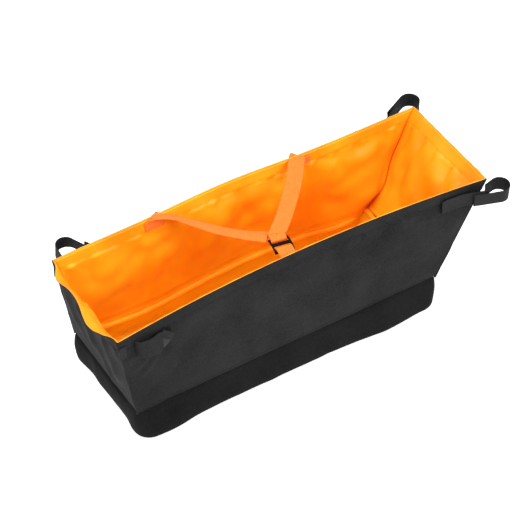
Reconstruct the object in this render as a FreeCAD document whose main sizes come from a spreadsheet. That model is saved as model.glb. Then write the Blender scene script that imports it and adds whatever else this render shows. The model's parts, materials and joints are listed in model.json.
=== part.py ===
import FreeCAD, Part
import math
import os
import re

import Sketcher

# Fruit picking bag: a long open-topped cloth trough with an orange liner, a separate base band,
# a Y strap with a ladder-lock buckle across the mouth, and a hook-and-loop strap at each corner.
# Millimetres. Origin: centre of the base, on the ground. +X towards the flared end, +Z up.

SIDES = ("front", "back", "left", "right")

# alias, value, what it is
SIZES = (
    ("rim_height", 218, "ground to the top of the rim"),
    ("seam_height", 54, "ground to the seam between base band and panels"),
    ("seam_half_length", 262, "half the length of the bag at the seam"),
    ("seam_half_width", 95.5, "half the width of the bag, seam to rim"),
    ("seam_corner", 12, "plan radius of the base band's corners at the seam"),
    ("left_flare", 24, "how far the left end leans out at the rim"),
    ("right_flare", 82, "how far the right end leans out at the rim"),
    ("front_bow", 20, "how far the front rim hangs in at its middle"),
    ("left_bow", 8, "how far the left rim hangs out at its middle"),
    ("base_half_length", 257, "half the length of the bottom"),
    ("base_half_width", 103, "half the width of the bottom"),
    ("base_corner", 40, "plan radius of the bottom's corners"),
    ("panel_cloth", 1.5, "coated outer cloth, two layers at the hem"),
    ("band_cloth", 1.8, "heavier cloth of the base band"),
    ("liner_cloth", 1.0, "liner cloth"),
    ("liner_depth", 3.2, "outer face to the liner's back"),
    ("corner_gap", 3.5, "room for the corner welt at a panel's end"),
    ("liner_corner_gap", 4.6, "room for the other liner at a liner's end"),
    ("binding_height", 3, "height of the folded edge along the rim"),
    ("binding_depth", 4.4, "thickness of the folded edge along the rim"),
    ("binding_corner_gap", 4.8, "end of a long edge before the short edge"),
    ("welt_radius", 1.5, "corner welt"),
    ("welt_inset", 1.6, "corner of the bag to the welt's centre"),
    ("ridge_radius", 3.3, "piped seam allowance inside the bag"),
    ("ridge_depth", 5.4, "outer face to the piped seam's centre"),
    ("ridge_corner_gap", 14, "end of the piped seam before the corner"),
    ("liner_start", 4, "liner begins this far above the seam"),
    ("stay_cloth", 1.0, "flat boning in the hem"),
    ("stay_depth", 1.85, "outer face to the boning"),
    ("stay_low", 196, "bottom of the boning"),
    ("stay_high", 210, "top of the boning"),
    ("stay_end_gap", 22, "boning stops this far from the corner"),
    ("base_cloth", 1.6, "bottom cloth"),
    ("board_thickness", 3, "stiff board in the bottom"),
    ("board_inset", 6, "edge of the bottom to the board"),
    ("tray_half_length", 253.5, "half the length of the liner's floor"),
    ("tray_half_width", 92.5, "half the width of the liner's floor"),
    ("tray_corner", 34, "plan radius of the liner's floor"),
    ("tray_top", 50, "top of the liner's low wall"),
    ("band_gap", 0.3, "seam between two band pieces"),
    ("narrow_webbing", 25, "width of the corner straps"),
    ("wide_webbing", 25, "width of the mouth straps"),
    ("webbing_cloth", 1.6, "thickness of the webbing"),
    ("loop_height", 194, "middle of the corner straps"),
    ("patch_cloth", 1.0, "thickness of a hook or pile patch"),
    ("patch_length", 18, "length of a hook or pile patch"),
    ("mouth_height", 211, "middle of the buckle"),
    ("strap_height", 210.4, "middle of the upper arm of the V"),
    ("mouth_hinge_y", 89.4, "sewn edge of the mouth straps at the back"),
    ("junction_y", -22, "front end of the V"),
    ("right_foot_x", 134, "right mouth strap at the back rim"),
    ("right_end_x", 21, "right mouth strap at the junction"),
    ("left_foot_x", -116, "left mouth strap at the back rim"),
    ("left_end_x", 13, "left mouth strap at the junction"),
    ("layer_gap", 0.4, "air between two webbing layers"),
    ("anchor_width", 32, "sewn end of a mouth strap"),
    ("anchor_low", 188, "bottom of a sewn end"),
    ("anchor_high", 206, "top of a sewn end"),
    ("back_anchor_y", 90.2, "middle of the sewn ends on the back liner"),
    ("front_anchor_y", -70.4, "middle of the sewn end on the front liner"),
    ("buckle_x", 15.5, "middle of the buckle"),
    ("buckle_y", -43.5, "middle of the buckle"),
    ("buckle_yaw", -10, "turn of the buckle, in degrees"),
    ("buckle_width", 31, "over the side arms"),
    ("buckle_length", 30, "over the end bars"),
    ("buckle_thickness", 3.2, "side arms and bars"),
    ("buckle_arch", 3, "rise of the arms to the middle bar"),
    ("buckle_bar", 4, "width of an end bar"),
    ("buckle_middle", 5.4, "width of the middle bar"),
    ("buckle_slot", 25.8, "width of a slot"),
    ("buckle_edge", 0.8, "rounding of the moulded edges"),
    ("keeper_radius", 4, "bend of the webbing round the upper bar"),
    ("keeper_drop", 2.7, "middle of the buckle to the middle of its upper bar"),
    ("keeper_run", 15, "sewn layers behind the upper bar"),
    ("tail_y", -68.0, "front strap's sewn edge"),
    ("tail_height", 213.2, "middle of the front strap"),
    ("tail_run", 14.8, "front strap before its bend"),
    ("tail_bend", 2.2, "bend radius of the front strap's tip"),
    ("tail_turn", 80, "bend of the front strap's tip, in degrees"),
    ("tail_tip", 3, "tip below the bend"),
)

# Each corner strap runs straight from its sewn edge, turns, and comes back straight.
# side is +1 for a turn to the left and -1 for a turn to the right.
LOOP_STRAPS = {
    "front_right": {"x": 343, "y": -95, "heading": 13, "run": 17, "radius": 14.5, "turn": 213,
                    "tail": 42, "side": -1, "patch": 20, "patch_side": -1},
    "back_right": {"x": 345, "y": 94, "heading": 40, "run": 25, "radius": 15, "turn": 168,
                   "tail": 41, "side": 1, "patch": 16, "patch_side": 1},
    "back_left": {"x": -266, "y": 98.4, "heading": 85, "run": 28, "radius": 16, "turn": 150,
                  "tail": 21, "side": -1, "patch": 2, "patch_side": 1},
    "front_left": {"x": -258, "y": -95.4, "heading": -70, "run": 2, "radius": 8, "turn": 75,
                   "tail": 32, "side": 1, "patch": 12, "patch_side": 1},
}

# Each tab lies on its panel, turns away from it and stands out to meet the strap. dip is its slope
# down from level, in degrees.
LOOP_TABS = {
    "front_right": {"x": 266, "y": -91.5, "heading": -5, "run": 35, "radius": 12, "turn": 15,
                    "tail": 38, "side": -1, "patch": 16, "patch_side": -1, "dip": 0},
    "back_right": {"x": 258, "y": 97.2, "heading": 0, "run": 23.5, "radius": 12, "turn": 28,
                   "tail": 48, "side": 1, "patch": 28, "patch_side": 1, "dip": 0},
    "back_left": {"x": -190, "y": 96.8, "heading": 180, "run": 19, "radius": 6, "turn": 65,
                  "tail": 18, "side": -1, "patch": 0, "patch_side": 1, "dip": 0},
    "front_left": {"x": -202, "y": -94.0, "heading": 180, "run": 10, "radius": 12, "turn": 5,
                   "tail": 28, "side": 1, "patch": 2, "patch_side": 1, "dip": 50},
}

# The sewn foot of each corner strap: a short flat run on the cloth.
LOOP_FEET = {
    "front_right": {"x": 334.6, "y": -92, "heading": 90, "run": 16},
    "back_right": {"x": 334.6, "y": 76, "heading": 90, "run": 16},
    "back_left": {"x": -284, "y": 96.8, "heading": 0, "run": 16},
    "front_left": {"x": -284, "y": -96.4, "heading": 0, "run": 16},
}

doc = FreeCAD.newDocument("fruit_picking_bag")
sheet = doc.addObject("Spreadsheet::Sheet", "Sizes")
bodies = []


def fill_sheet():
    for row, (alias, value, note) in enumerate(SIZES, start=1):
        sheet.set(f"A{row}", note)
        sheet.set(f"B{row}", str(value))
        sheet.setAlias(f"B{row}", alias)
    row = len(SIZES)
    for kind, table in (("strap", LOOP_STRAPS), ("tab", LOOP_TABS), ("foot", LOOP_FEET)):
        for corner, values in table.items():
            for key, value in values.items():
                row += 1
                sheet.set(f"A{row}", f"{corner} {kind}: {key}")
                sheet.set(f"B{row}", str(value))
                sheet.setAlias(f"B{row}", f"{corner}_{kind}_{key}")
    doc.recompute()


def bound(text):
    """An expression in plain aliases, written for an object outside the sheet."""
    return re.sub(r"\b([a-z]+_[a-z_]+)\b", r"Sizes.\1", str(text))


def value_of(text):
    return float(sheet.evalExpression(str(text)))


def new_body(label):
    body = doc.addObject("PartDesign::Body", label)
    body.Label = label
    bodies.append(body)
    return body


def place(body, x="0", y="0", z="0", yaw="0"):
    """Puts a body at x, y, z, turned about +Z, all bound to the sheet."""
    body.Placement = FreeCAD.Placement(FreeCAD.Vector(0, 0, 0), FreeCAD.Rotation(FreeCAD.Vector(0, 0, 1), 1))
    body.setExpression("Placement.Base.x", bound(x))
    body.setExpression("Placement.Base.y", bound(y))
    body.setExpression("Placement.Base.z", bound(z))
    body.setExpression("Placement.Rotation.Angle", bound(yaw))


def sketch_on(body, name, role="XY_Plane", offset="0"):
    plane = next(item for item in body.Origin.OriginFeatures if item.Role == role)
    sketch = body.newObject("Sketcher::SketchObject", name)
    sketch.AttachmentSupport = [(plane, "")]
    sketch.MapMode = "FlatFace"
    sketch.setExpression("AttachmentOffset.Base.z", bound(offset))
    return sketch


def bind_datum(sketch, constraint, name, text):
    index = sketch.addConstraint(constraint)
    sketch.renameConstraint(index, name)
    sketch.setExpression(f"Constraints.{name}", bound(text))


def arc_between(start, end, radius, turning_left):
    """Arc under half a circle from start to end, kept anticlockwise."""
    chord = end.sub(start)
    left = FreeCAD.Vector(-chord.y, chord.x, 0).normalize()
    reach = math.sqrt(max(radius**2 - (chord.Length / 2) ** 2, 0))
    side = 1 if turning_left else -1
    centre = start.add(end).multiply(0.5).add(left.multiply(side * reach))
    first, last = (start, end) if turning_left else (end, start)
    angles = [math.atan2(point.y - centre.y, point.x - centre.x) for point in (first, last)]
    if angles[1] < angles[0]:
        angles[1] += 2 * math.pi
    return Part.ArcOfCircle(Part.Circle(centre, FreeCAD.Vector(0, 0, 1), radius), angles[0], angles[1])


def draw_outline(sketch, corners, arcs=None, start=0):
    """Closed loop through the corners. arcs gives, by edge, a signed radius: + turns left."""
    arcs = arcs or {}
    points = [FreeCAD.Vector(value_of(x), value_of(y), 0) for x, y in corners]
    ends = []
    for edge, here in enumerate(points):
        there = points[(edge + 1) % len(points)]
        radius = value_of(arcs[edge]) if edge in arcs else 0
        if radius:
            sketch.addGeometry(arc_between(here, there, abs(radius), radius > 0))
            ends.append((1, 2) if radius > 0 else (2, 1))
        else:
            sketch.addGeometry(Part.LineSegment(here, there))
            ends.append((1, 2))
    for edge, (x, y) in enumerate(corners):
        item = start + edge
        following = (edge + 1) % len(corners)
        joint = Sketcher.Constraint(
            "Coincident", item, ends[edge][1], start + following, ends[following][0]
        )
        sketch.addConstraint(joint)
        across = Sketcher.Constraint("DistanceX", -1, 1, item, ends[edge][0], points[edge].x)
        upward = Sketcher.Constraint("DistanceY", -1, 1, item, ends[edge][0], points[edge].y)
        bind_datum(sketch, across, f"across_{item}", x)
        bind_datum(sketch, upward, f"upward_{item}", y)
        if edge in arcs:
            size = Sketcher.Constraint("Radius", item, abs(value_of(arcs[edge])))
            bind_datum(sketch, size, f"radius_{item}", f"abs({arcs[edge]})")
    return start + len(corners)


def pad_body(body, sketch, length, middle=False):
    pad = body.newObject("PartDesign::Pad", f"{body.Name}_pad")
    pad.Profile = sketch
    pad.SideType = "Symmetric" if middle else "One side"
    pad.setExpression("Length", bound(length))
    sketch.Visibility = False
    body.Tip = pad
    return body


def loft_body(label, lower, upper):
    """Cloth piece between two outlines. Each outline is (height, corners, arcs)."""
    body = new_body(label)
    sketches = []
    for name, (height, corners, arcs) in (("low", lower), ("high", upper)):
        sketch = sketch_on(body, f"{label}_{name}", offset=height)
        draw_outline(sketch, corners, arcs)
        sketches.append(sketch)
    loft = body.newObject("PartDesign::AdditiveLoft", f"{label}_loft")
    loft.Profile = sketches[0]
    loft.Sections = [sketches[1]]
    loft.Ruled = True
    body.Tip = loft
    place(body)
    return body


# ---- the trough's walls ----


def rise_at(height):
    """0 at the seam, 1 at the rim."""
    return f"((({height}) - seam_height) / (rim_height - seam_height))"


def bow_radius(chord, bow):
    return f"((({chord}) ^ 2 / 4 + ({bow}) ^ 2) / (2 * ({bow})))"


def bow_of(side, rise, chord, gap):
    """Radius of a wall's bow at a height, and how far the cloth has moved at gap from its corner."""
    bows = {"front": "front_bow", "left": "left_bow"}
    if side not in bows or value_of(rise) * value_of(bows[side]) < 0.01:
        return None, "0"
    bow = f"({bows[side]} * {rise})"
    radius = bow_radius(chord, bow)
    return radius, f"({bow} - {radius} + sqrt({radius} ^ 2 - ({chord} / 2 - {gap}) ^ 2))"


def wall_strip(side, height, depth, cloth, gap):
    """Plan outline of one wall's cloth at a height, its face depth in from the outer face."""
    rise = rise_at(height)
    left = f"-(seam_half_length + left_flare * {rise})"
    right = f"(seam_half_length + right_flare * {rise})"
    inner = f"({depth} + {cloth})"
    if side in ("front", "back"):
        radius, moved = bow_of(side, rise, f"({right} - {left})", gap)
        sign = "-" if side == "front" else ""
        low, high = f"{left} + {gap}", f"{right} - {gap}"
        outer_y = f"{sign}(seam_half_width - {depth}) + {moved}"
        inner_y = f"{sign}(seam_half_width - {inner}) + {moved}"
        corners = [(low, outer_y), (high, outer_y), (high, inner_y), (low, inner_y)]
        arcs = {0: f"-{radius}", 2: radius} if radius else {}
    else:
        radius, moved = bow_of(side, rise, "(2 * seam_half_width)", gap)
        sign = 1 if side == "right" else -1
        end = right if side == "right" else left
        outer_x = f"{end} - {sign} * {depth} - {moved}"
        inner_x = f"{end} - {sign} * {inner} - {moved}"
        reach = f"(seam_half_width - {gap})"
        corners = [(outer_x, reach), (outer_x, f"-{reach}"), (inner_x, f"-{reach}"), (inner_x, reach)]
        arcs = {0: radius, 2: f"-{radius}"} if radius else {}
    return height, corners, arcs


def wall_piece(label, side, low, high, depth, cloth, gap):
    return loft_body(
        label,
        wall_strip(side, low, depth, cloth, gap),
        wall_strip(side, high, depth, cloth, gap),
    )


def make_walls():
    edge_base = "(rim_height - binding_height)"
    liner_base = "(seam_height + liner_start)"
    for side in SIDES:
        name = side if side in ("front", "back") else f"{side}_end"
        wall_piece(f"{name}_panel", side, "seam_height", edge_base, "0", "panel_cloth", "corner_gap")
        wall_piece(f"{name}_liner", side, liner_base, edge_base, "liner_depth", "liner_cloth",
                   "liner_corner_gap")
        gap = "binding_corner_gap" if side in ("front", "back") else "0"
        wall_piece(f"{name}_rim_binding", side, edge_base, "rim_height", "0", "binding_depth", gap)
    for side in ("front", "back"):
        wall_piece(f"{side}_rim_stay", side, "stay_low", "stay_high", "stay_depth", "stay_cloth",
                   "stay_end_gap")


def circle_sketch(body, name, x, y, radius, role="XY_Plane", offset="0"):
    sketch = sketch_on(body, name, role, offset)
    centre = FreeCAD.Vector(value_of(x), value_of(y), 0)
    size = value_of(radius)
    sketch.addGeometry(Part.Circle(centre, FreeCAD.Vector(0, 0, 1), size))
    bind_datum(sketch, Sketcher.Constraint("DistanceX", -1, 1, 0, 3, centre.x), "across", x)
    bind_datum(sketch, Sketcher.Constraint("DistanceY", -1, 1, 0, 3, centre.y), "upward", y)
    bind_datum(sketch, Sketcher.Constraint("Radius", 0, size), "size", radius)
    return sketch


def make_corner_welts():
    """A leaning round cord in each upright corner seam."""
    for side, x_sign in (("left", -1), ("right", 1)):
        for face, y_sign in (("front", -1), ("back", 1)):
            label = f"{face}_{side}_corner_welt"
            body = new_body(label)
            y = f"{y_sign} * (seam_half_width - welt_inset)"
            sketches = []
            for name, height in (("low", "seam_height"), ("high", "(rim_height - binding_height)")):
                x = f"{x_sign} * (seam_half_length + {side}_flare * {rise_at(height)} - welt_inset)"
                sketches.append(circle_sketch(body, f"{label}_{name}", x, y, "welt_radius", offset=height))
            loft = body.newObject("PartDesign::AdditiveLoft", f"{label}_loft")
            loft.Profile = sketches[0]
            loft.Sections = [sketches[1]]
            body.Tip = loft
            place(body)


def make_seam_ridges():
    """The piped seam allowance that stands into the bag all round, where band meets panel."""
    for side in SIDES:
        body = new_body(f"{side}_seam_ridge")
        along_x = side in ("front", "back")
        plane = "YZ_Plane" if along_x else "XZ_Plane"
        reach = "seam_half_length" if along_x else "seam_half_width"
        sign = -1 if side in ("front", "left") else 1
        across = "seam_half_width" if along_x else "seam_half_length"
        sketch = circle_sketch(body, f"{side}_ridge_round", f"{sign} * ({across} - ridge_depth)",
                               "seam_height", "ridge_radius", plane)
        pad_body(body, sketch, f"2 * ({reach} - ridge_corner_gap)", middle=True)
        place(body)


# ---- the base ----


def rounded_plan(length, width, corner):
    """Rounded rectangle, anticlockwise from the front edge's left end."""
    x_in, y_in = f"({length} - {corner})", f"({width} - {corner})"
    corners = [
        (f"-{x_in}", f"-{width}"), (x_in, f"-{width}"), (length, f"-{y_in}"), (length, y_in),
        (x_in, width), (f"-{x_in}", width), (f"-{length}", y_in), (f"-{length}", f"-{y_in}"),
    ]
    return corners, {edge: corner for edge in (1, 3, 5, 7)}


def band_end_plan(height, sign, length, width, corner):
    """U of band cloth round one end: two quarter turns and the straight between them."""
    outer = {"x": f"({length} - {corner})", "y": f"({width} - {corner})"}
    turn_left = f"{sign} * ({corner})"
    inner_turn = f"-{sign} * ({corner} - band_cloth)"
    end_x = f"{sign} * ({outer['x']})"
    corners = [
        (end_x, f"-{width}"),
        (f"{sign} * {length}", f"-{outer['y']}"),
        (f"{sign} * {length}", outer["y"]),
        (end_x, width),
        (end_x, f"({width} - band_cloth)"),
        (f"{sign} * ({length} - band_cloth)", outer["y"]),
        (f"{sign} * ({length} - band_cloth)", f"-{outer['y']}"),
        (end_x, f"-({width} - band_cloth)"),
    ]
    return height, corners, {0: turn_left, 2: turn_left, 4: inner_turn, 6: inner_turn}


def band_side_plan(height, sign, length, width, corner):
    reach = f"({length} - {corner} - band_gap)"
    outer, inner = f"{sign} * {width}", f"{sign} * ({width} - band_cloth)"
    corners = [(f"-{reach}", outer), (reach, outer), (reach, inner), (f"-{reach}", inner)]
    return height, corners, {}


def make_base():
    bottom = ("base_half_length", "base_half_width", "base_corner")
    seam = ("seam_half_length", "seam_half_width", "seam_corner")
    for side, sign, plan in (
        ("front", -1, band_side_plan),
        ("back", 1, band_side_plan),
        ("left_end", -1, band_end_plan),
        ("right_end", 1, band_end_plan),
    ):
        loft_body(f"{side}_base_band", plan("base_cloth", sign, *bottom), plan("seam_height", sign, *seam))

    panel = new_body("base_panel")
    sketch = sketch_on(panel, "base_panel_plan")
    draw_outline(sketch, *rounded_plan(*bottom))
    pad_body(panel, sketch, "base_cloth")
    place(panel)

    board = new_body("base_board")
    sketch = sketch_on(board, "base_board_plan")
    inset = "board_inset"
    draw_outline(sketch, *rounded_plan(*(f"({size} - {inset})" for size in bottom)))
    pad_body(board, sketch, "board_thickness")
    place(board, z="base_cloth")

    tray = new_body("liner_floor_tray")
    outline = ("tray_half_length", "tray_half_width", "tray_corner")
    sketch = sketch_on(tray, "tray_plan")
    draw_outline(sketch, *rounded_plan(*outline))
    pad_body(tray, sketch, "tray_top - base_cloth - board_thickness")
    hollow = sketch_on(tray, "tray_hollow", offset="liner_cloth")
    draw_outline(hollow, *rounded_plan(*(f"({size} - liner_cloth)" for size in outline)))
    doc.recompute()
    pocket = tray.newObject("PartDesign::Pocket", "tray_pocket")
    pocket.Profile = hollow
    pocket.Type = "ThroughAll"
    pocket.Reversed = True
    tray.Tip = pocket
    place(tray, z="base_cloth + board_thickness")


# ---- webbing ----


class Track:
    """Centre line of a bent strap: a straight run, one turn, and a straight tail, from (0, 0) along +x."""

    def __init__(self, run, radius, turn, tail, side):
        self.run, self.radius, self.turn, self.tail, self.side = run, radius, turn, tail, side

    def on_run(self, offset):
        return f"({self.run})", f"({offset})"

    def on_start(self, offset):
        return "0", f"({offset})"

    def on_tail(self, distance, offset):
        """A point past the turn, offset to the left of the centre line."""
        turn, side, radius = f"({self.turn})", f"({self.side})", f"({self.radius})"
        x = (f"({self.run}) + {radius} * sin({turn}) + ({distance}) * cos({turn})"
             f" - ({offset}) * {side} * sin({turn})")
        y = (f"{side} * {radius} * (1 - cos({turn})) + ({distance}) * {side} * sin({turn})"
             f" + ({offset}) * cos({turn})")
        return x, y

    def on_middle(self, offset):
        """Halfway round the turn, offset to the left."""
        half, side = f"(({self.turn}) / 2)", f"({self.side})"
        x = f"({self.run}) + ({self.radius} - {side} * ({offset})) * sin({half})"
        y = f"{side} * ({self.radius}) - ({side} * ({self.radius}) - ({offset})) * cos({half})"
        return x, y

    def outline(self):
        """Corner points and arcs of the strap's edge-on shape. The turn is drawn as two arcs."""
        half = "webbing_cloth / 2"
        corners = [self.on_start(f"-{half}"), self.on_run(f"-{half}"), self.on_middle(f"-{half}"),
                   self.on_tail("0", f"-{half}"), self.on_tail(self.tail, f"-{half}"),
                   self.on_tail(self.tail, half), self.on_tail("0", half), self.on_middle(half),
                   self.on_run(half), self.on_start(half)]
        wide = f"{self.side} * (({self.radius}) + {self.side} * {half})"
        tight = f"-{self.side} * (({self.radius}) - {self.side} * {half})"
        return corners, {1: wide, 2: wide, 6: tight, 7: tight}

    def patch(self, start, length, side):
        """A patch on the tail's left (+1) or right (-1) face, patch_cloth thick."""
        near = f"{side} * webbing_cloth / 2"
        far = f"{side} * (webbing_cloth / 2 + patch_cloth)"
        finish = f"(({start}) + ({length}))"
        return [self.on_tail(start, near), self.on_tail(finish, near),
                self.on_tail(finish, far), self.on_tail(start, far)]


def corner_track(corner, kind):
    return Track(*(f"{corner}_{kind}_{key}" for key in ("run", "radius", "turn", "tail", "side")))


def upright_piece(label, corners, arcs, width, x, y, z, heading):
    """A strap-like piece that stands on edge: its plan outline, padded up and down from z."""
    body = new_body(label)
    sketch = sketch_on(body, f"{label}_plan")
    draw_outline(sketch, corners, arcs)
    pad_body(body, sketch, width, middle=True)
    place(body, x, y, z, heading)
    return body


def make_corner_loops():
    for corner in LOOP_STRAPS:
        for kind, strap_name, patch_name in (("strap", "loop_strap", "hook_patch"),
                                             ("tab", "loop_tab", "pile_patch")):
            track = corner_track(corner, kind)
            sizes = f"{corner}_{kind}"
            where = (f"{sizes}_x", f"{sizes}_y", "loop_height", f"{sizes}_heading")
            strap = upright_piece(f"{corner}_{strap_name}", *track.outline(), "narrow_webbing", *where)
            outline = track.patch(f"{sizes}_patch", "patch_length", f"{sizes}_patch_side")
            patch = upright_piece(f"{corner}_{patch_name}", outline, None, "narrow_webbing - 3", *where)
            if kind == "tab":
                dip = value_of(f"{sizes}_dip")
                for piece in (strap, patch):
                    lean_over(piece, f"{sizes}_heading", FreeCAD.Vector(0, 1, 0), dip)
        make_loop_foot(corner)


def lean_over(body, heading, axis, angle):
    """Turns a placed body about one of its own axes, on top of its heading."""
    yaw = FreeCAD.Rotation(FreeCAD.Vector(0, 0, 1), value_of(heading))
    body.setExpression("Placement.Rotation.Angle", None)
    turned = yaw.multiply(FreeCAD.Rotation(axis, angle))
    body.Placement = FreeCAD.Placement(body.Placement.Base, turned)


def make_loop_foot(corner):
    """The strap's sewn end, flat on the cloth, leaning with the wall behind it."""
    sizes = f"{corner}_foot"
    half = "webbing_cloth / 2"
    run = f"{sizes}_run"
    corners = [("0", f"-{half}"), (run, f"-{half}"), (run, half), ("0", half)]
    foot = upright_piece(f"{corner}_loop_foot", corners, None, "narrow_webbing",
                         f"{sizes}_x", f"{sizes}_y", "loop_height", f"{sizes}_heading")
    if corner.endswith("right"):
        lean = math.degrees(math.atan2(value_of("right_flare"), value_of("rim_height - seam_height")))
        lean_over(foot, f"{sizes}_heading", FreeCAD.Vector(1, 0, 0), lean)


def mouth_strap(label, foot_x, end_x, height):
    """One arm of the V, cut parallel to the rim at both ends."""
    body = new_body(label)
    span = "(mouth_hinge_y - junction_y)"
    half_cut = f"(wide_webbing / 2 * sqrt(({foot_x} - {end_x}) ^ 2 + {span} ^ 2) / {span})"
    corners = [(f"{foot_x} + {half_cut}", "mouth_hinge_y"), (f"{foot_x} - {half_cut}", "mouth_hinge_y"),
               (f"{end_x} - {half_cut}", "junction_y"), (f"{end_x} + {half_cut}", "junction_y")]
    sketch = sketch_on(body, f"{label}_plan")
    draw_outline(sketch, corners)
    pad_body(body, sketch, "webbing_cloth", middle=True)
    place(body, z=height)


def side_piece(label, corners, arcs, width, x, y, z, yaw):
    """A piece drawn edge-on in its own YZ plane and padded to both sides."""
    body = new_body(label)
    sketch = sketch_on(body, f"{label}_edge", "YZ_Plane")
    draw_outline(sketch, corners, arcs)
    pad_body(body, sketch, width, middle=True)
    place(body, x, y, z, yaw)
    return body


def block_corners(x_low, x_high, y_low, y_high):
    return [(x_low, y_low), (x_high, y_low), (x_high, y_high), (x_low, y_high)]


def make_anchor(label, x, y, low, high, width):
    body = new_body(label)
    sketch = sketch_on(body, f"{label}_plan")
    half, thin = f"({width}) / 2", "webbing_cloth / 2"
    draw_outline(sketch, block_corners(f"-{half}", half, f"-{thin}", thin))
    pad_body(body, sketch, f"{high} - {low}")
    place(body, x, y, low)


def make_buckle():
    """Ladder lock: two arched side arms, and three bars with two slots between them."""
    half = "(buckle_length / 2)"
    thick = "buckle_thickness"
    radius = bow_radius("buckle_length", "buckle_arch")
    corners = [(f"-{half}", f"-buckle_arch - {thick} / 2"), (half, f"-buckle_arch - {thick} / 2"),
               (half, f"-buckle_arch + {thick} / 2"), (f"-{half}", f"-buckle_arch + {thick} / 2")]
    body = side_piece("buckle", corners, {0: f"-{radius}", 2: radius}, "buckle_width",
                      "buckle_x", "buckle_y", "mouth_height", "buckle_yaw")
    slots = sketch_on(body, "buckle_slots")
    near, far = "buckle_middle / 2", "(buckle_length / 2 - buckle_bar)"
    wide = "buckle_slot / 2"
    after = draw_outline(slots, block_corners(f"-{wide}", wide, near, far))
    draw_outline(slots, block_corners(f"-{wide}", wide, f"-{far}", f"-{near}"), start=after)
    doc.recompute()
    pocket = body.newObject("PartDesign::Pocket", "buckle_pocket")
    pocket.Profile = slots
    pocket.Type = "ThroughAll"
    pocket.SideType = "Symmetric"
    body.Tip = pocket
    doc.recompute()
    rounding = body.newObject("PartDesign::Fillet", "buckle_rounding")
    edges = [f"Edge{index + 1}" for index in range(len(pocket.Shape.Edges))]
    rounding.Base = (pocket, edges)
    rounding.setExpression("Radius", bound("buckle_edge"))
    body.Tip = rounding


def make_mouth_straps():
    mouth_strap("right_mouth_strap", "right_foot_x", "right_end_x", "strap_height")
    mouth_strap("left_mouth_strap", "left_foot_x", "left_end_x",
                "strap_height - webbing_cloth - layer_gap")
    make_buckle()

    bar = "(buckle_length / 2 - buckle_bar / 2)"
    keeper_x = f"buckle_x - {bar} * sin(buckle_yaw)"
    keeper_y = f"buckle_y + {bar} * cos(buckle_yaw)"
    keeper = Track("keeper_run", "keeper_radius", "180", "keeper_run", "-1")
    corners, arcs = keeper.outline()
    moved = [(f"keeper_run - ({x})", f"({y}) + keeper_radius") for x, y in corners]
    flipped = {edge: f"-({radius})" for edge, radius in arcs.items()}
    side_piece("buckle_keeper", moved, flipped, "wide_webbing", keeper_x, keeper_y,
               "mouth_height - keeper_drop", "buckle_yaw")

    tail_x = "buckle_x - (tail_y - buckle_y) * tan(buckle_yaw)"
    tail = Track("tail_run", "tail_bend", "tail_turn", "tail_tip", "-1")
    side_piece("front_mouth_strap", *tail.outline(), "wide_webbing", tail_x, "tail_y",
               "tail_height", "buckle_yaw")

    for side in ("right", "left"):
        make_anchor(f"{side}_strap_anchor", f"{side}_foot_x", "back_anchor_y",
                    "anchor_low", "anchor_high", "anchor_width")
    make_anchor("front_strap_anchor", tail_x, "front_anchor_y",
                "anchor_low", "anchor_high", "wide_webbing")


def check_and_export():
    doc.recompute()
    for item in doc.Objects:
        problems = [word for word in item.State if word in ("Invalid", "Error")]
        if problems:
            raise RuntimeError(f"{item.Label}: {problems}")
    os.makedirs("parts", exist_ok=True)
    for body in bodies:
        shape = body.Shape
        if shape.isNull() or not shape.isValid() or len(shape.Solids) != 1:
            raise RuntimeError(f"{body.Label}: the shape isn't one valid solid")
        shape.exportStep(os.path.join("parts", f"{body.Label}.step"))
    print(len(bodies), "pieces written")


fill_sheet()
make_walls()
make_corner_welts()
make_seam_ridges()
make_base()
make_corner_loops()
make_mouth_straps()
check_and_export()
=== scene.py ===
import json
import math
import random

import bpy
import numpy as np
from mathutils import Matrix, Vector


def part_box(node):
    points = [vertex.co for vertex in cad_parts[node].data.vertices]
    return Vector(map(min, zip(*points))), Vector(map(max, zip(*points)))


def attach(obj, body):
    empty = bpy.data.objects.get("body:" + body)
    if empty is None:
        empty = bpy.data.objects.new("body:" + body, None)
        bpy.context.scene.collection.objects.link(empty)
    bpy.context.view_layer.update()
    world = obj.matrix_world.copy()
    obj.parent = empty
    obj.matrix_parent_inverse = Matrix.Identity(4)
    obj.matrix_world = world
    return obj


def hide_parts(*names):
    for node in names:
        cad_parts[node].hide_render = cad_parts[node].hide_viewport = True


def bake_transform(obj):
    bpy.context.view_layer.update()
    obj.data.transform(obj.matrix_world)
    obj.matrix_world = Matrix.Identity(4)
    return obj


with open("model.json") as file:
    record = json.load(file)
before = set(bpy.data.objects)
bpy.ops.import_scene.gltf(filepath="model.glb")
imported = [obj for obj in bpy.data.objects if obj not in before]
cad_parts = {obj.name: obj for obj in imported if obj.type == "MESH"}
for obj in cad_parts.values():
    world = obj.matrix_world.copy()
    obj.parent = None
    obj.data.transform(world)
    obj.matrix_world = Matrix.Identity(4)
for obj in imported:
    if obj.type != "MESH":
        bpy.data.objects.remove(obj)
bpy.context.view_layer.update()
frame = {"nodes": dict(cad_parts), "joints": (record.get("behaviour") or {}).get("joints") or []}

# Looks of the fruit picking bag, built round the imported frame. Metres, the frame's own axes:
# +X towards the flared end, -Y the front, +Z up.

# ---- the frame's own places ----

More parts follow.
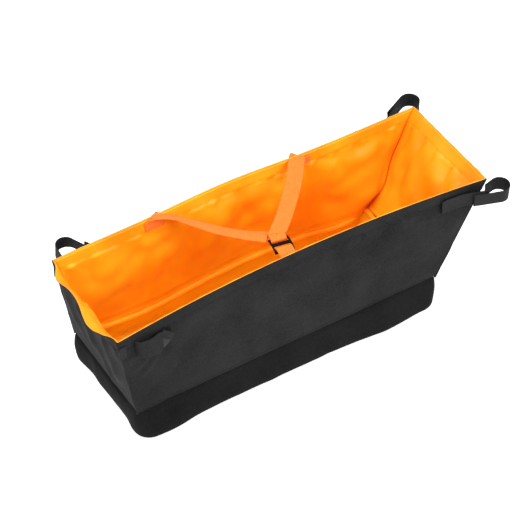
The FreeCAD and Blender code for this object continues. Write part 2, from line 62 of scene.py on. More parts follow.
BINDING_GAP = 0.0048
binding_low, binding_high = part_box("front_rim_binding")
rim_z = binding_high.z
seam_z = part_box("front_panel")[0].z
half_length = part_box("right_end_base_band")[1].x
half_width = -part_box("front_panel")[0].y
left_flare = -(binding_low.x - BINDING_GAP) - half_length
right_flare = binding_high.x + BINDING_GAP - half_length
base_low, base_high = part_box("base_panel")
base_half_length, base_half_width = base_high.x, base_high.y
tray_low, tray_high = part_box("liner_floor_tray")
joints = {joint["name"]: joint for joint in frame["joints"]}

# ---- cloth ----

PANEL_CLOTH = 0.0015
BAND_CLOTH = 0.0018
LINER_CLOTH = 0.0010
LINER_DEPTH = 0.0036
FRONT_BOW = 0.020
HEM_DEPTH = 0.020
HEM_STEP = 0.0009
CORNER_CALM = 0.016
WEBBING = 0.0016
NARROW = 0.025
WIDE = 0.025

SIDES = ("front", "back", "left", "right")
PIECE_OF = {"front": "front", "back": "back", "left": "left_end", "right": "right_end"}
OUTWARD = {"front": (0, -1, 0), "back": (0, 1, 0), "left": (-1, 0, 0), "right": (1, 0, 0)}
hem_z = rim_z - HEM_DEPTH


def smooth(value):
    value = np.clip(value, 0.0, 1.0)
    return value * value * (3 - 2 * value)


def bump(value, centre, width):
    return np.exp(-(((value - centre) / width) ** 2))


def ripple(a, b, length_a, length_b, seed, count=9):
    """A smooth random field of about +-1, its waves about length_a by length_b long."""
    draw = random.Random(seed)
    total = np.zeros(np.broadcast(a, b).shape)
    for _ in range(count):
        turn = draw.uniform(-1, 1)
        across = (1 if draw.random() < 0.5 else -1) * math.sqrt(1 - turn * turn)
        stretch = draw.uniform(0.75, 1.35)
        phase = 2 * math.pi * (a * turn / length_a + b * across / length_b) / stretch
        total += np.sin(phase + draw.uniform(0, 2 * math.pi))
    return total / math.sqrt(count)


def fold(a, b, start, end, width, height, bend=0.0):
    """A soft ridge along the line from start to end, bent sideways by bend at its middle."""
    (a0, b0), (a1, b1) = start, end
    length = math.hypot(a1 - a0, b1 - b0)
    along_a, along_b = (a1 - a0) / length, (b1 - b0) / length
    along = ((a - a0) * along_a + (b - b0) * along_b) / length
    across = -(a - a0) * along_b + (b - b0) * along_a - 4 * bend * along * (1 - along)
    fade = smooth(along * 2.4 + 0.55) * smooth((1 - along) * 2.4 + 0.55)
    return height * fade * np.exp(-((across / width) ** 2))


# Folds of the outer cloth: start, end (along the wall, height), width, height, sideways bend.
FRONT_FOLDS = (
    ((0.235, 0.182), (0.290, 0.140), 0.010, 0.0055, 0.014),
    ((0.262, 0.168), (0.300, 0.118), 0.007, -0.0025, 0.006),
    ((0.176, 0.186), (0.192, 0.150), 0.009, 0.0036, 0.0),
    ((0.205, 0.190), (0.212, 0.160), 0.007, -0.0020, 0.0),
    ((0.098, 0.188), (0.104, 0.162), 0.008, 0.0030, 0.0),
    ((0.062, 0.190), (0.066, 0.170), 0.006, 0.0022, 0.0),
    ((-0.010, 0.188), (0.012, 0.158), 0.008, 0.0026, 0.0),
    ((-0.070, 0.190), (-0.058, 0.164), 0.007, 0.0024, 0.0),
    ((-0.128, 0.188), (-0.118, 0.160), 0.007, 0.0020, 0.0),
    ((-0.226, 0.158), (-0.250, 0.128), 0.006, 0.0030, 0.003),
    ((-0.232, 0.166), (-0.264, 0.148), 0.005, 0.0026, 0.002),
    ((-0.238, 0.176), (-0.272, 0.172), 0.005, 0.0022, 0.0),
    ((-0.205, 0.152), (-0.196, 0.118), 0.008, 0.0022, 0.0),
    ((-0.180, 0.070), (-0.020, 0.110), 0.024, 0.0020, 0.010),
    ((0.060, 0.080), (0.230, 0.120), 0.026, 0.0022, -0.012),
)
BACK_FOLDS = (
    ((-0.240, 0.186), (-0.226, 0.140), 0.010, 0.0030, 0.004),
    ((-0.110, 0.190), (-0.100, 0.150), 0.010, 0.0026, 0.0),
    ((0.030, 0.188), (0.040, 0.140), 0.012, 0.0030, 0.0),
    ((0.190, 0.190), (0.214, 0.130), 0.012, 0.0034, 0.006),
    ((-0.180, 0.080), (0.000, 0.120), 0.024, 0.0022, 0.010),
    ((0.080, 0.110), (0.240, 0.080), 0.024, 0.0022, 0.010),
)
LEFT_FOLDS = (
    ((0.030, 0.192), (0.004, 0.110), 0.012, 0.0045, 0.006),
    ((-0.040, 0.188), (-0.058, 0.100), 0.011, 0.0040, -0.006),
    ((0.070, 0.170), (0.050, 0.090), 0.012, 0.0030, 0.0),
    ((-0.010, 0.120), (-0.030, 0.066), 0.010, 0.0030, 0.0),
)
RIGHT_FOLDS = (
    ((-0.030, 0.190), (-0.060, 0.110), 0.014, 0.0040, 0.006),
    ((0.040, 0.186), (0.058, 0.100), 0.014, 0.0040, -0.006),
    ((0.000, 0.150), (0.010, 0.070), 0.012, 0.0026, 0.0),
)
WALL_FOLDS = {"front": FRONT_FOLDS, "back": BACK_FOLDS, "left": LEFT_FOLDS, "right": RIGHT_FOLDS}
SEEDS = {"front": 11, "back": 23, "left": 37, "right": 51}


def rise_of(z):
    return (z - seam_z) / (rim_z - seam_z)


def rim_lean(y):
    """How far the soft left rim hangs out at y. It has no boning."""
    waves = 0.0062 * bump(y, 0.064, 0.022) + 0.0082 * bump(y, -0.038, 0.034)
    return waves + 0.0050 * (1 - (y / half_width) ** 2)


def back_bow(x, height):
    """How far the back rim bends outward under the pull of the mouth straps' cloth."""
    arch = 0.0078 * bump(x, 0.012, 0.112) + 0.0016 * smooth((0.12 - x) / 0.24)
    return arch * np.maximum(height, 0) ** 1.6


def puckers(side, along, z):
    """Small gathers that hang from the hem's stitching."""
    seed = SEEDS[side]
    below = smooth((hem_z + 0.003 - z) / 0.006) * np.exp(-np.maximum(hem_z - z, 0) / 0.017)
    waves = ripple(along, z * 0.4, 0.017, 0.10, seed + 1) + 0.6 * ripple(along, z, 0.009, 0.05, seed + 2)
    patchy = smooth(0.5 + 0.5 * ripple(along, z * 0, 0.11, 1.0, seed + 3))
    return 0.0017 * below * patchy * waves


def outer_push(side, along, z, reach):
    """How far the outer cloth stands out of its plain wall, calm near the corners."""
    seed = SEEDS[side]
    height = rise_of(z)
    calm = smooth(reach / CORNER_CALM)
    belly = smooth(height / 0.35) * smooth((1 - height) / 0.25)
    push = 0.0016 * ripple(along, z, 0.16, 0.11, seed) * belly
    push = push + 0.0006 * ripple(along, z, 0.055, 0.050, seed + 4) * belly
    for start, end, width, size, bend in WALL_FOLDS[side]:
        push = push + fold(along, z, start, end, width, size, bend)
    push = push + puckers(side, along, z)
    return push * calm


def face(side, t, z, reach_scale=1.0):
    """Outer face of a wall. t runs from 0 to 1, left to right or front to back."""
    t, z = np.broadcast_arrays(np.asarray(t, float), np.asarray(z, float))
    height = rise_of(z)
    left = -(half_length + left_flare * height)
    right = half_length + right_flare * height
    arch = 4 * t * (1 - t)
    if side in ("front", "back"):
        sign = -1 if side == "front" else 1
        x = left + (right - left) * t
        reach = np.minimum(x - left, right - x) * reach_scale
        bow = FRONT_BOW * height * arch if side == "front" else back_bow(x, height) * smooth(reach / 0.05)
        y = sign * (half_width + outer_push(side, x, z, reach)) + bow
        return np.stack([x, y, z + 0 * x], -1)
    sign = -1 if side == "left" else 1
    end = left if side == "left" else right
    y = half_width * (2 * t - 1)
    reach = (half_width - np.abs(y)) * reach_scale
    push = outer_push(side, y, z, reach)
    drop = 0.0
    if side == "left":
        curl = np.clip((z - rim_z + 0.032) / 0.032, 0, 1.1) ** 2
        lean = rim_lean(y) * smooth(reach / 0.03)
        push = push + 1.15 * lean * curl - 0.0022 * bump(z, 0.186, 0.010) * arch
        push = push + 0.0020 * smooth((z - 0.095) / 0.03) * (1 - curl) * smooth(reach / 0.03)
        drop = 0.85 * lean * curl
    return np.stack([end + sign * push, y, z - drop], -1)


def wall(side, t, z, depth=0.0):
    """Point of a wall, depth in from its outer face along the face's own normal."""
    t, z, depth = np.broadcast_arrays(np.asarray(t, float), np.asarray(z, float), np.asarray(depth, float))
    along, up = 0.004, 0.0015
    span = face(side, t + along, z) - face(side, t - along, z)
    climb = face(side, t, z + up) - face(side, t, z - up)
    normal = np.cross(span, climb)
    normal /= np.linalg.norm(normal, axis=-1, keepdims=True)
    facing = np.sign(normal @ np.array(OUTWARD[side], float))[..., None]
    return face(side, t, z) - normal * facing * depth[..., None]


def along_of(side, t, z):
    """Distance along a wall from the middle of the bag, as the folds use it."""
    if side in ("left", "right"):
        return half_width * (2 * t - 1)
    height = rise_of(z)
    left = -(half_length + left_flare * height)
    return left + (2 * half_length + (left_flare + right_flare) * height) * t


def t_of(side, along, z):
    """The t of a place on a wall."""
    if side in ("left", "right"):
        return (along / half_width + 1) / 2
    height = rise_of(z)
    left = -(half_length + left_flare * height)
    return (along - left) / (2 * half_length + (left_flare + right_flare) * height)


# ---- materials ----


class Shader:
    """A node tree with one Principled shader, built by short calls."""

    def __init__(self, name):
        self.material = bpy.data.materials.new(name)
        self.material.use_nodes = True
        self.tree = self.material.node_tree
        self.principled = self.tree.nodes["Principled BSDF"]

    def set(self, **values):
        for name, value in values.items():
            self.principled.inputs[name.replace("_", " ")].default_value = value
        return self

    def node(self, kind, inputs=(), **settings):
        made = self.tree.nodes.new(kind)
        for name, value in settings.items():
            setattr(made, name, value)
        for socket, value in dict(inputs).items():
            self.feed(value, made.inputs[socket])
        return made

    def feed(self, value, socket):
        if isinstance(value, bpy.types.NodeSocket):
            self.tree.links.new(value, socket)
        else:
            socket.default_value = value

    def place(self, source="Object", scale=(1, 1, 1)):
        coordinates = self.node("ShaderNodeTexCoord")
        mapping = self.node("ShaderNodeMapping", {"Vector": coordinates.outputs[source], "Scale": scale})
        return mapping.outputs["Vector"]

    def noise(self, vector, scale, detail=3.0, roughness=0.5):
        inputs = {"Vector": vector, "Scale": scale, "Detail": detail, "Roughness": roughness}
        return self.node("ShaderNodeTexNoise", inputs).outputs["Fac"]

    def bands(self, vector, scale, direction, distortion=0.0):
        inputs = {"Vector": vector, "Scale": scale, "Distortion": distortion}
        made = self.node("ShaderNodeTexWave", inputs, bands_direction=direction)
        return made.outputs["Fac"]

    def math(self, operation, a, b=0.5, clamp=False):
        made = self.node("ShaderNodeMath", {0: a, 1: b}, operation=operation, use_clamp=clamp)
        return made.outputs["Value"]

    def ramp(self, value, low, high, to_low=0.0, to_high=1.0):
        inputs = {"Value": value, "From Min": low, "From Max": high, "To Min": to_low, "To Max": to_high}
        return self.node("ShaderNodeMapRange", inputs).outputs["Result"]

    def mix(self, amount, a, b, blend_type="MIX"):
        made = self.node("ShaderNodeMix", data_type="RGBA", blend_type=blend_type)
        self.feed(amount, made.inputs["Factor"])
        self.feed(a, made.inputs["A"])
        self.feed(b, made.inputs["B"])
        return made.outputs["Result"]

    def colour(self, value):
        self.feed(value, self.principled.inputs["Base Color"])

    def rough(self, value):
        self.feed(value, self.principled.inputs["Roughness"])

    def relief(self, layers):
        """Stacks bump layers: (height, depth in metres, strength)."""
        normal = None
        for height, depth, strength in layers:
            inputs = {"Height": height, "Distance": depth, "Strength": strength}
            if normal is not None:
                inputs["Normal"] = normal
            normal = self.node("ShaderNodeBump", inputs).outputs["Normal"]
        self.feed(normal, self.principled.inputs["Normal"])


def weave(shader, place, pitch):
    """Plain weave: threads over and under, pitch metres apart."""
    scale = 2 * math.pi / (20 * pitch)
    warp = shader.bands(place, scale, "X")
    weft = shader.bands(place, scale, "Y")
    return shader.math("MAXIMUM", warp, weft)


def coated_cloth(name, dark, light, pitch, rough_low, rough_high):
    """Dense polyester with a thin coat: fine weave, faint creases, slightly uneven sheen."""
    shader = Shader(name)
    flat = shader.place("UV")
    space = shader.place("Object")
    blotch = shader.noise(space, 14.0, 4.0, 0.55)
    grain = shader.noise(space, 420.0, 2.0)
    threads = weave(shader, flat, pitch)
    crease = shader.noise(space, 55.0, 5.0, 0.6)
    tone = shader.ramp(shader.math("ADD", blotch, shader.math("MULTIPLY", grain, 0.8)), 0.60, 1.15)
    base = shader.mix(tone, dark, light)
    worn = shader.mix(shader.math("MULTIPLY", threads, 0.16), base, (0.0, 0.0, 0.0, 1.0))
    shader.colour(worn)
    shader.rough(shader.ramp(blotch, 0.3, 0.7, rough_low, rough_high))
    shader.relief(((crease, 0.0012, 0.22), (threads, 0.00008, 0.35), (grain, 0.0001, 0.25)))
    return shader


def make_shell_cloth():
    shader = coated_cloth("shell_cloth", (0.0095, 0.0095, 0.0099, 1), (0.0245, 0.0245, 0.0250, 1), 0.0008, 0.60, 0.74)
    shader.principled.inputs["Specular IOR Level"].default_value = 0.04
    return shader.material


def make_base_cloth():
    shader = coated_cloth("base_cloth", (0.0045, 0.0045, 0.0048, 1), (0.0130, 0.0130, 0.0135, 1), 0.0013, 0.65, 0.80)
    shader.principled.inputs["Specular IOR Level"].default_value = 0.04
    return shader.material


def make_liner_cloth(name="liner_cloth", low=(0.97, 0.270, 0.001, 1), high=(1.0, 0.42, 0.006, 1)):
    shader = Shader(name)
    flat = shader.place("UV")
    space = shader.place("Object")
    blotch = shader.noise(space, 9.0, 3.0, 0.5)
    crease = shader.noise(space, 38.0, 4.0, 0.55)
    grain = shader.noise(space, 500.0, 2.0)
    threads = weave(shader, flat, 0.0006)
    # Tone: random blotches of the cloth's own colour, plus the crease noise that is also the bump height, so raised
    # creases come out lighter and their hollows darker: painted highlight and painted shade.
    tone = shader.ramp(shader.math("ADD", blotch, shader.math("MULTIPLY", crease, 0.35)), 0.5, 0.85)
    shader.colour(shader.mix(tone, low, high))
    shader.rough(shader.ramp(blotch, 0.3, 0.7, 0.40, 0.54))
    shader.relief(((crease, 0.0016, 0.25), (threads, 0.00006, 0.3), (grain, 0.00006, 0.2)))
    shader.set(Sheen_Weight=0.1, Sheen_Roughness=0.4)
    shader.principled.inputs["Sheen Tint"].default_value = (1.0, 0.62, 0.2, 1)
    shader.principled.inputs["Specular IOR Level"].default_value = 0.34
    return shader.material


def webbing(name, dark, light, sheen, tint, rough):
    """Woven tape: lengthwise ribs crossed by a herringbone, thicker edges, stray fuzz."""
    shader = Shader(name)
    flat = shader.place("UV")
    space = shader.place("Object")
    ribs = shader.bands(flat, 2 * math.pi / (20 * 0.0021), "Y")
    cross = shader.bands(flat, 2 * math.pi / (20 * 0.0011), "DIAGONAL", 0.4)
    fuzz = shader.noise(space, 900.0, 3.0, 0.7)
    blotch = shader.noise(space, 60.0, 3.0)
    speckle = shader.noise(space, 480.0, 2.0, 0.6)
    tone = shader.math("ADD", shader.math("MULTIPLY", cross, 0.35), shader.math("MULTIPLY", speckle, 1.1))
    tone = shader.math("ADD", tone, shader.math("MULTIPLY", blotch, 0.3))
    shader.colour(shader.mix(shader.ramp(tone, 0.55, 1.25), dark, light))
    shader.rough(shader.ramp(fuzz, 0.3, 0.7, rough, rough + 0.14))
    shader.relief(((ribs, 0.00025, 0.5), (cross, 0.00018, 0.6), (fuzz, 0.00012, 0.35)))
    shader.set(Sheen_Weight=sheen, Sheen_Roughness=0.5)
    shader.principled.inputs["Sheen Tint"].default_value = tint
    shader.principled.inputs["Specular IOR Level"].default_value = 0.06
    return shader.material


def make_hook_cloth():
    shader = Shader("hook_and_loop")
    space = shader.place("Object")
    hooks = shader.node("ShaderNodeTexVoronoi", {"Vector": space, "Scale": 900.0}).outputs["Distance"]
    fuzz = shader.noise(space, 1400.0, 4.0, 0.7)
    shader.colour(shader.mix(fuzz, (0.005, 0.005, 0.0055, 1), (0.015, 0.015, 0.016, 1)))
    shader.rough(shader.ramp(fuzz, 0.2, 0.8, 0.7, 0.95))
    shader.relief(((hooks, 0.0005, 0.8), (fuzz, 0.0003, 0.6)))
    shader.set(Sheen_Weight=0.1, Sheen_Roughness=0.6)
    shader.principled.inputs["Specular IOR Level"].default_value = 0.15
    return shader.material


def make_plastic(name="buckle_plastic", dark=(0.003, 0.0025, 0.003, 1), light=(0.006, 0.0048, 0.0055, 1)):
    shader = Shader(name)
    space = shader.place("Object")
    grain = shader.noise(space, 1500.0, 3.0, 0.6)
    flow = shader.noise(space, 70.0, 2.0)
    shader.colour(shader.mix(flow, dark, light))
    shader.rough(shader.ramp(grain, 0.3, 0.7, 0.34, 0.46))
    shader.relief(((grain, 0.00006, 0.4), (flow, 0.0002, 0.15)))
    shader.principled.inputs["Specular IOR Level"].default_value = 0.10
    return shader.material


def make_thread(name, dark, light):
    shader = Shader(name)
    space = shader.place("Object")
    twist = shader.bands(space, 900.0, "DIAGONAL", 0.6)
    tone = shader.noise(space, 120.0, 2.0)
    shader.colour(shader.mix(tone, dark, light))
    shader.rough(shader.ramp(tone, 0.3, 0.7, 0.5, 0.65))
    shader.relief(((twist, 0.00008, 0.5),))
    shader.principled.inputs["Specular IOR Level"].default_value = 0.05
    return shader.material


def make_board():
    shader = Shader("base_board")
    space = shader.place("Object", (1, 6, 1))
    streak = shader.noise(space, 30.0, 4.0, 0.6)
    grain = shader.noise(space, 600.0, 2.0)
    shader.colour(shader.mix(streak, (0.10, 0.10, 0.10, 1), (0.20, 0.195, 0.19, 1)))
    shader.rough(shader.ramp(grain, 0.3, 0.7, 0.45, 0.6))
    shader.relief(((streak, 0.0003, 0.3), (grain, 0.0001, 0.3)))
    return shader.material


MATERIALS = {
    "shell_cloth": make_shell_cloth(),
    "base_cloth": make_base_cloth(),
    "liner_cloth": make_liner_cloth(),
    "edge_binding": make_liner_cloth("edge_binding", (0.96, 0.28, 0.004, 1), (1.0, 0.40, 0.014, 1)),
    "orange_webbing": webbing("orange_webbing", (0.84, 0.155, 0.018, 1), (0.98, 0.28, 0.050, 1), 0.10,
                              (1.0, 0.7, 0.4, 1), 0.62),
    "black_webbing": webbing("black_webbing", (0.010, 0.010, 0.0105, 1), (0.026, 0.026, 0.027, 1), 0.0,
                             (0.6, 0.6, 0.65, 1), 0.62),
    "hook_and_loop": make_hook_cloth(),
    "buckle_plastic": make_plastic(),
    "base_board": make_board(),
    "boning": make_plastic("boning", (0.30, 0.30, 0.29, 1), (0.42, 0.42, 0.40, 1)),
}
BLACK_THREAD = make_thread("black_thread", (0.010, 0.010, 0.011, 1), (0.022, 0.022, 0.024, 1))
ORANGE_THREAD = make_thread("orange_thread", (0.94, 0.25, 0.003, 1), (1.0, 0.36, 0.01, 1))
FLOOR_CLOTH = make_liner_cloth("liner_floor_cloth", (1.0, 0.46, 0.004, 1), (1.0, 0.58, 0.016, 1))


# ---- mesh helpers ----


def add_piece(name, points, faces, uvs, slot, body, nodes=(), material=None):
    """One smooth mesh piece: points N x 3, faces of indices, uvs per point in metres of cloth."""
    mesh = bpy.data.meshes.new(name)
    mesh.from_pydata([tuple(point) for point in points], [], [tuple(face_) for face_ in faces])
    layer = mesh.uv_layers.new(name="cloth")
    corners = np.zeros(len(mesh.loops), int)
    mesh.loops.foreach_get("vertex_index", corners)
    layer.data.foreach_set("uv", np.asarray(uvs, float)[corners].ravel())
    mesh.polygons.foreach_set("use_smooth", [True] * len(mesh.polygons))
    mesh.materials.append(material or MATERIALS[slot])
    mesh.update()
    piece = bpy.data.objects.new(name, mesh)
    bpy.context.scene.collection.objects.link(piece)
    if body:
        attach(piece, body)
    if nodes:
        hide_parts(*nodes)
    return piece


def grid_faces(rows, columns, start=0, around=False, flip=False):
    """Quads of a rows x columns grid of points. around joins its last row to its first."""
    faces = []
    for row in range(rows if around else rows - 1):
        for column in range(columns - 1):
            a = start + row * columns + column
            b = start + ((row + 1) % rows) * columns + column
            quad = (a, a + 1, b + 1, b)
            faces.append(quad[::-1] if flip else quad)
    return faces


def ring_grid(name, grid, uv, slot, body, nodes=(), flip=False, material=None):
    """A closed cloth piece that also goes all the way round: its last column meets its first."""
    rows, columns = grid.shape[:2]
    points = grid.reshape(-1, 3)
    faces = []
    for row in range(rows):
        for column in range(columns):
            following = (column + 1) % columns
            a, b = row * columns + column, row * columns + following
            c, d = ((row + 1) % rows) * columns + following, ((row + 1) % rows) * columns + column
            faces.append((a, d, c, b) if flip else (a, b, c, d))
    return add_piece(name, points, faces, uv.reshape(-1, 2), slot, body, nodes, material)


def loop_grid(name, grid, uv, slot, body, nodes=(), flip=False, material=None):
    """A closed cloth piece whose rows go round its section; its two ends are capped."""
    rows, columns = grid.shape[:2]
    faces = grid_faces(rows, columns, around=True, flip=flip)
    for column in (0, columns - 1):
        ring = [row * columns + column for row in range(rows)]
        half = rows // 2
        for row in range(half - 1):
            quad = (ring[row], ring[row + 1], ring[rows - 2 - row], ring[rows - 1 - row])
            keep = (column == 0) != flip
            faces.append(quad if keep else quad[::-1])
    return add_piece(name, grid.reshape(-1, 3), faces, uv.reshape(-1, 2), slot, body, nodes, material)


def spaced(low, high, step):
    return np.linspace(low, high, max(2, int(round((high - low) / step)) + 1))


# ---- the outer shell ----

COLUMN_STEP = 0.0034


def wall_rows():
    """Heights of a wall's rows, closer together at the hem and at the seam."""
    low = spaced(seam_z, seam_z + 0.012, 0.002)
    middle = spaced(seam_z + 0.012, hem_z - 0.012, 0.0045)[1:]
    high = spaced(hem_z - 0.012, rim_z - 0.0012, 0.0018)[1:]
    return np.concatenate([low, middle, high])


def seam_tuck(side, along, z):
    """How far the cloth tucks in at the seam over the base band. It fades near the front left."""
    strength = 1.0
    if side == "front":
        strength = 0.25 + 0.75 * smooth((along + 0.236) / 0.03)
    return 0.0022 * strength * np.exp(-(((z - seam_z) / 0.0035) ** 2))


def hem_step(z):
    return HEM_STEP * smooth((z - hem_z) / 0.0022) - 0.0006 * bump(z, hem_z - 0.0008, 0.0016)


def shell_depth(side, t, z):
    """Depth of the shell's outer face: the hem stands proud, the seam tucks in."""
    along = along_of(side, t, z)
    return seam_tuck(side, along, z) - hem_step(z)


def columns_of(side):
    length = 2 * half_width if side in ("left", "right") else 2 * half_length + left_flare
    return np.linspace(0.0, 1.0, int(length / COLUMN_STEP) + 1)


def make_shell(side):
    rows = wall_rows()
    t = columns_of(side)
    top = [(rim_z - 0.0004, -0.0006), (rim_z, 0.0001), (rim_z - 0.0003, 0.0008)]
    layers = []
    for z in rows:
        layers.append((z, None, 0.0))
    for z, depth in top:
        layers.append((z, depth, 0.0))
    for z in rows[::-1]:
        thick = PANEL_CLOTH + HEM_STEP - 0.0005 if z > hem_z else PANEL_CLOTH
        layers.append((z, None, thick))
    if len(layers) % 2:
        layers.append((rows[0] - 0.0004, None, PANEL_CLOTH / 2))
    grid, uv = [], []
    for z, depth, inner in layers:
        here = shell_depth(side, t, z) + inner if depth is None else depth + 0 * t
        grid.append(wall(side, t, z, here))
        uv.append(np.stack([along_of(side, t, z), z + 0 * t + inner], -1))
    flip = side in ("back", "left")
    name = PIECE_OF[side]
    loop_grid(f"{name}_shell", np.array(grid), np.array(uv), "shell_cloth", "bag", [f"{name}_panel"], flip)


def make_rim_edge(side):
    """The liner's folded edge: a thin bead that shows along the rim inside the shell's own edge."""
    section = ((0.0003, -0.0042), (0.0003, -0.0004), (0.0006, 0.0005), (0.0013, 0.0009), (0.0020, 0.0006),
               (0.0025, -0.0006), (0.0025, -0.0020), (0.0021, -0.0040), (0.0016, -0.0042), (0.0010, -0.0042))
    t = columns_of(side)
    gap = 0.0016 / (2 * half_width if side in ("left", "right") else 2 * half_length)
    t = gap + (1 - 2 * gap) * t
    flutter = 0.0004 * ripple(along_of(side, t, rim_z), t * 0, 0.021, 1.0, SEEDS[side] + 9)
    grid, uv = [], []
    slim = 0.72 if side == "front" else 0.9
    for step, (depth, lift) in enumerate(section):
        grid.append(wall(side, t, rim_z + lift + flutter * (lift > -0.004), depth * slim))
        uv.append(np.stack([along_of(side, t, rim_z), step * 0.0015 + 0 * t], -1))
    flip = side in ("back", "left")
    name = f"{PIECE_OF[side]}_rim_binding"
    loop_grid(f"{name}_fold", np.array(grid), np.array(uv), "edge_binding", "bag", [name], flip)


def make_stay(side):
    """The flat boning inside a long hem."""
    low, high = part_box(f"{side}_rim_stay")
    heights = (low.z, high.z)
    t = np.linspace(t_of(side, low.x, low.z), t_of(side, high.x, low.z), 120)
    grid, uv = [], []
    for z, depth in ((heights[0], 0.0019), (heights[1], 0.0019), (heights[1], 0.0026), (heights[0], 0.0026)):
        grid.append(wall(side, t, z, depth))
        uv.append(np.stack([along_of(side, t, z), z + depth + 0 * t], -1))
    loop_grid(f"{side}_rim_stay_strip", np.array(grid), np.array(uv), "boning", "bag",
              [f"{side}_rim_stay"], side == "back")


def tube(name, path, radii, slot, body, nodes=(), sides=10, material=None, squash=1.0):
    """A round piece along a path, its two ends capped flat."""
    path = np.asarray(path, float)
    radii = np.broadcast_to(np.asarray(radii, float), len(path))
    tangents = np.gradient(path, axis=0)
    tangents /= np.linalg.norm(tangents, axis=1, keepdims=True)
    guide = np.array([0.0, 0.0, 1.0]) if abs(tangents[0][2]) < 0.8 else np.array([0.0, 1.0, 0.0])
    aside = np.cross(tangents, guide)
    aside /= np.linalg.norm(aside, axis=1, keepdims=True)
    upward = np.cross(aside, tangents)
    lengths = np.concatenate([[0], np.cumsum(np.linalg.norm(np.diff(path, axis=0), axis=1))])
    grid, uv = [], []
    for step in range(sides):
        angle = 2 * math.pi * step / sides
        offset = aside * math.cos(angle) * radii[:, None] + upward * math.sin(angle) * radii[:, None] * squash
        grid.append(path + offset)
        uv.append(np.stack([lengths, 0 * lengths + angle * radii.mean()], -1))
    return loop_grid(name, np.array(grid), np.array(uv), slot, body, nodes, True, material)


def make_welt(side, end):
    """The cord in an upright corner seam, slightly wavy under the cloth."""
    t = 0.0 if end == "left" else 1.0
    z = np.linspace(seam_z - 0.001, rim_z - 0.003, 46)
    line = face(side, t, z)
    x_sign = -1 if end == "left" else 1
    y_sign = -1 if side == "front" else 1
    wobble = 0.0006 * ripple(z, z * 0, 0.05, 1.0, 70 + len(side + end))
    line[:, 0] -= x_sign * (0.0011 - wobble)
    line[:, 1] -= y_sign * (0.0011 - wobble)
    radius = 0.0017 + 0.0003 * ripple(z, z * 0, 0.03, 1.0, 80 + len(side + end))
    name = f"{side}_{end}_corner_welt"
    tube(f"{name}_cord", line, radius, "shell_cloth", "bag", [name])


# ---- the base ----

BOTTOM_CORNER = 0.020
SEAM_CORNER = 0.006


def rounded_loop(length, width, corner, count):
    """count points round a rounded rectangle, anticlockwise from the middle of its right end, with outward normals."""
    straight_x, straight_y = 2 * (length - corner), 2 * (width - corner)
    quarter = corner * math.pi / 2
    total = 2 * (straight_x + straight_y) + 4 * quarter
    share = np.linspace(0, 1, count, endpoint=False) * total
    points, normals = [], []
    for distance in share:
        distance = (distance + straight_y / 2) % total
        for turn, straight in ((0, straight_y), (90, straight_x), (180, straight_y), (270, straight_x)):
            centre = {0: (1, -1), 90: (1, 1), 180: (-1, 1), 270: (-1, -1)}[turn]
            if distance <= straight:
                run = distance - straight / 2
                angle = math.radians(turn)
                out = np.array([math.cos(angle), math.sin(angle)])
                along = np.array([-math.sin(angle), math.cos(angle)])
                reach = length if turn in (0, 180) else width
                points.append(out * reach + along * run)
                normals.append(out)
                break
            distance -= straight
            if distance <= quarter:
                angle = math.radians(turn) + distance / corner
                out = np.array([math.cos(angle), math.sin(angle)])
                corner_of = {0: (1, 1), 90: (-1, 1), 180: (-1, -1), 270: (1, -1)}[turn]
                middle = np.array([corner_of[0] * (length - corner), corner_of[1] * (width - corner)])
                points.append(middle + out * corner)
                normals.append(out)
                break
            distance -= quarter
    return np.array(points), np.array(normals)


def base_bulge(points):
    """Waves of the bottom edge: it bellies out at two places on the front."""
    x, y = points[:, 0], points[:, 1]
    front = smooth((-y - 0.05) / 0.03)
    back = smooth((y - 0.05) / 0.03)
    right = smooth((x - half_length + 0.05) / 0.03)
    left = smooth((-x - half_length + 0.05) / 0.03)
    out = front * (0.0070 * bump(x, -0.214, 0.040) + 0.0080 * bump(x, 0.172, 0.062) + 0.0022)
    out = out + back * (0.0050 * bump(x, -0.120, 0.07) + 0.0055 * bump(x, 0.110, 0.08))
    out = out + left * (0.0020 * bump(y, 0.02, 0.03) + 0.0040 * bump(y, 0.085, 0.025) + 0.0010)
    return out + right * (0.0030 * bump(y, 0.0, 0.05) + 0.0010)


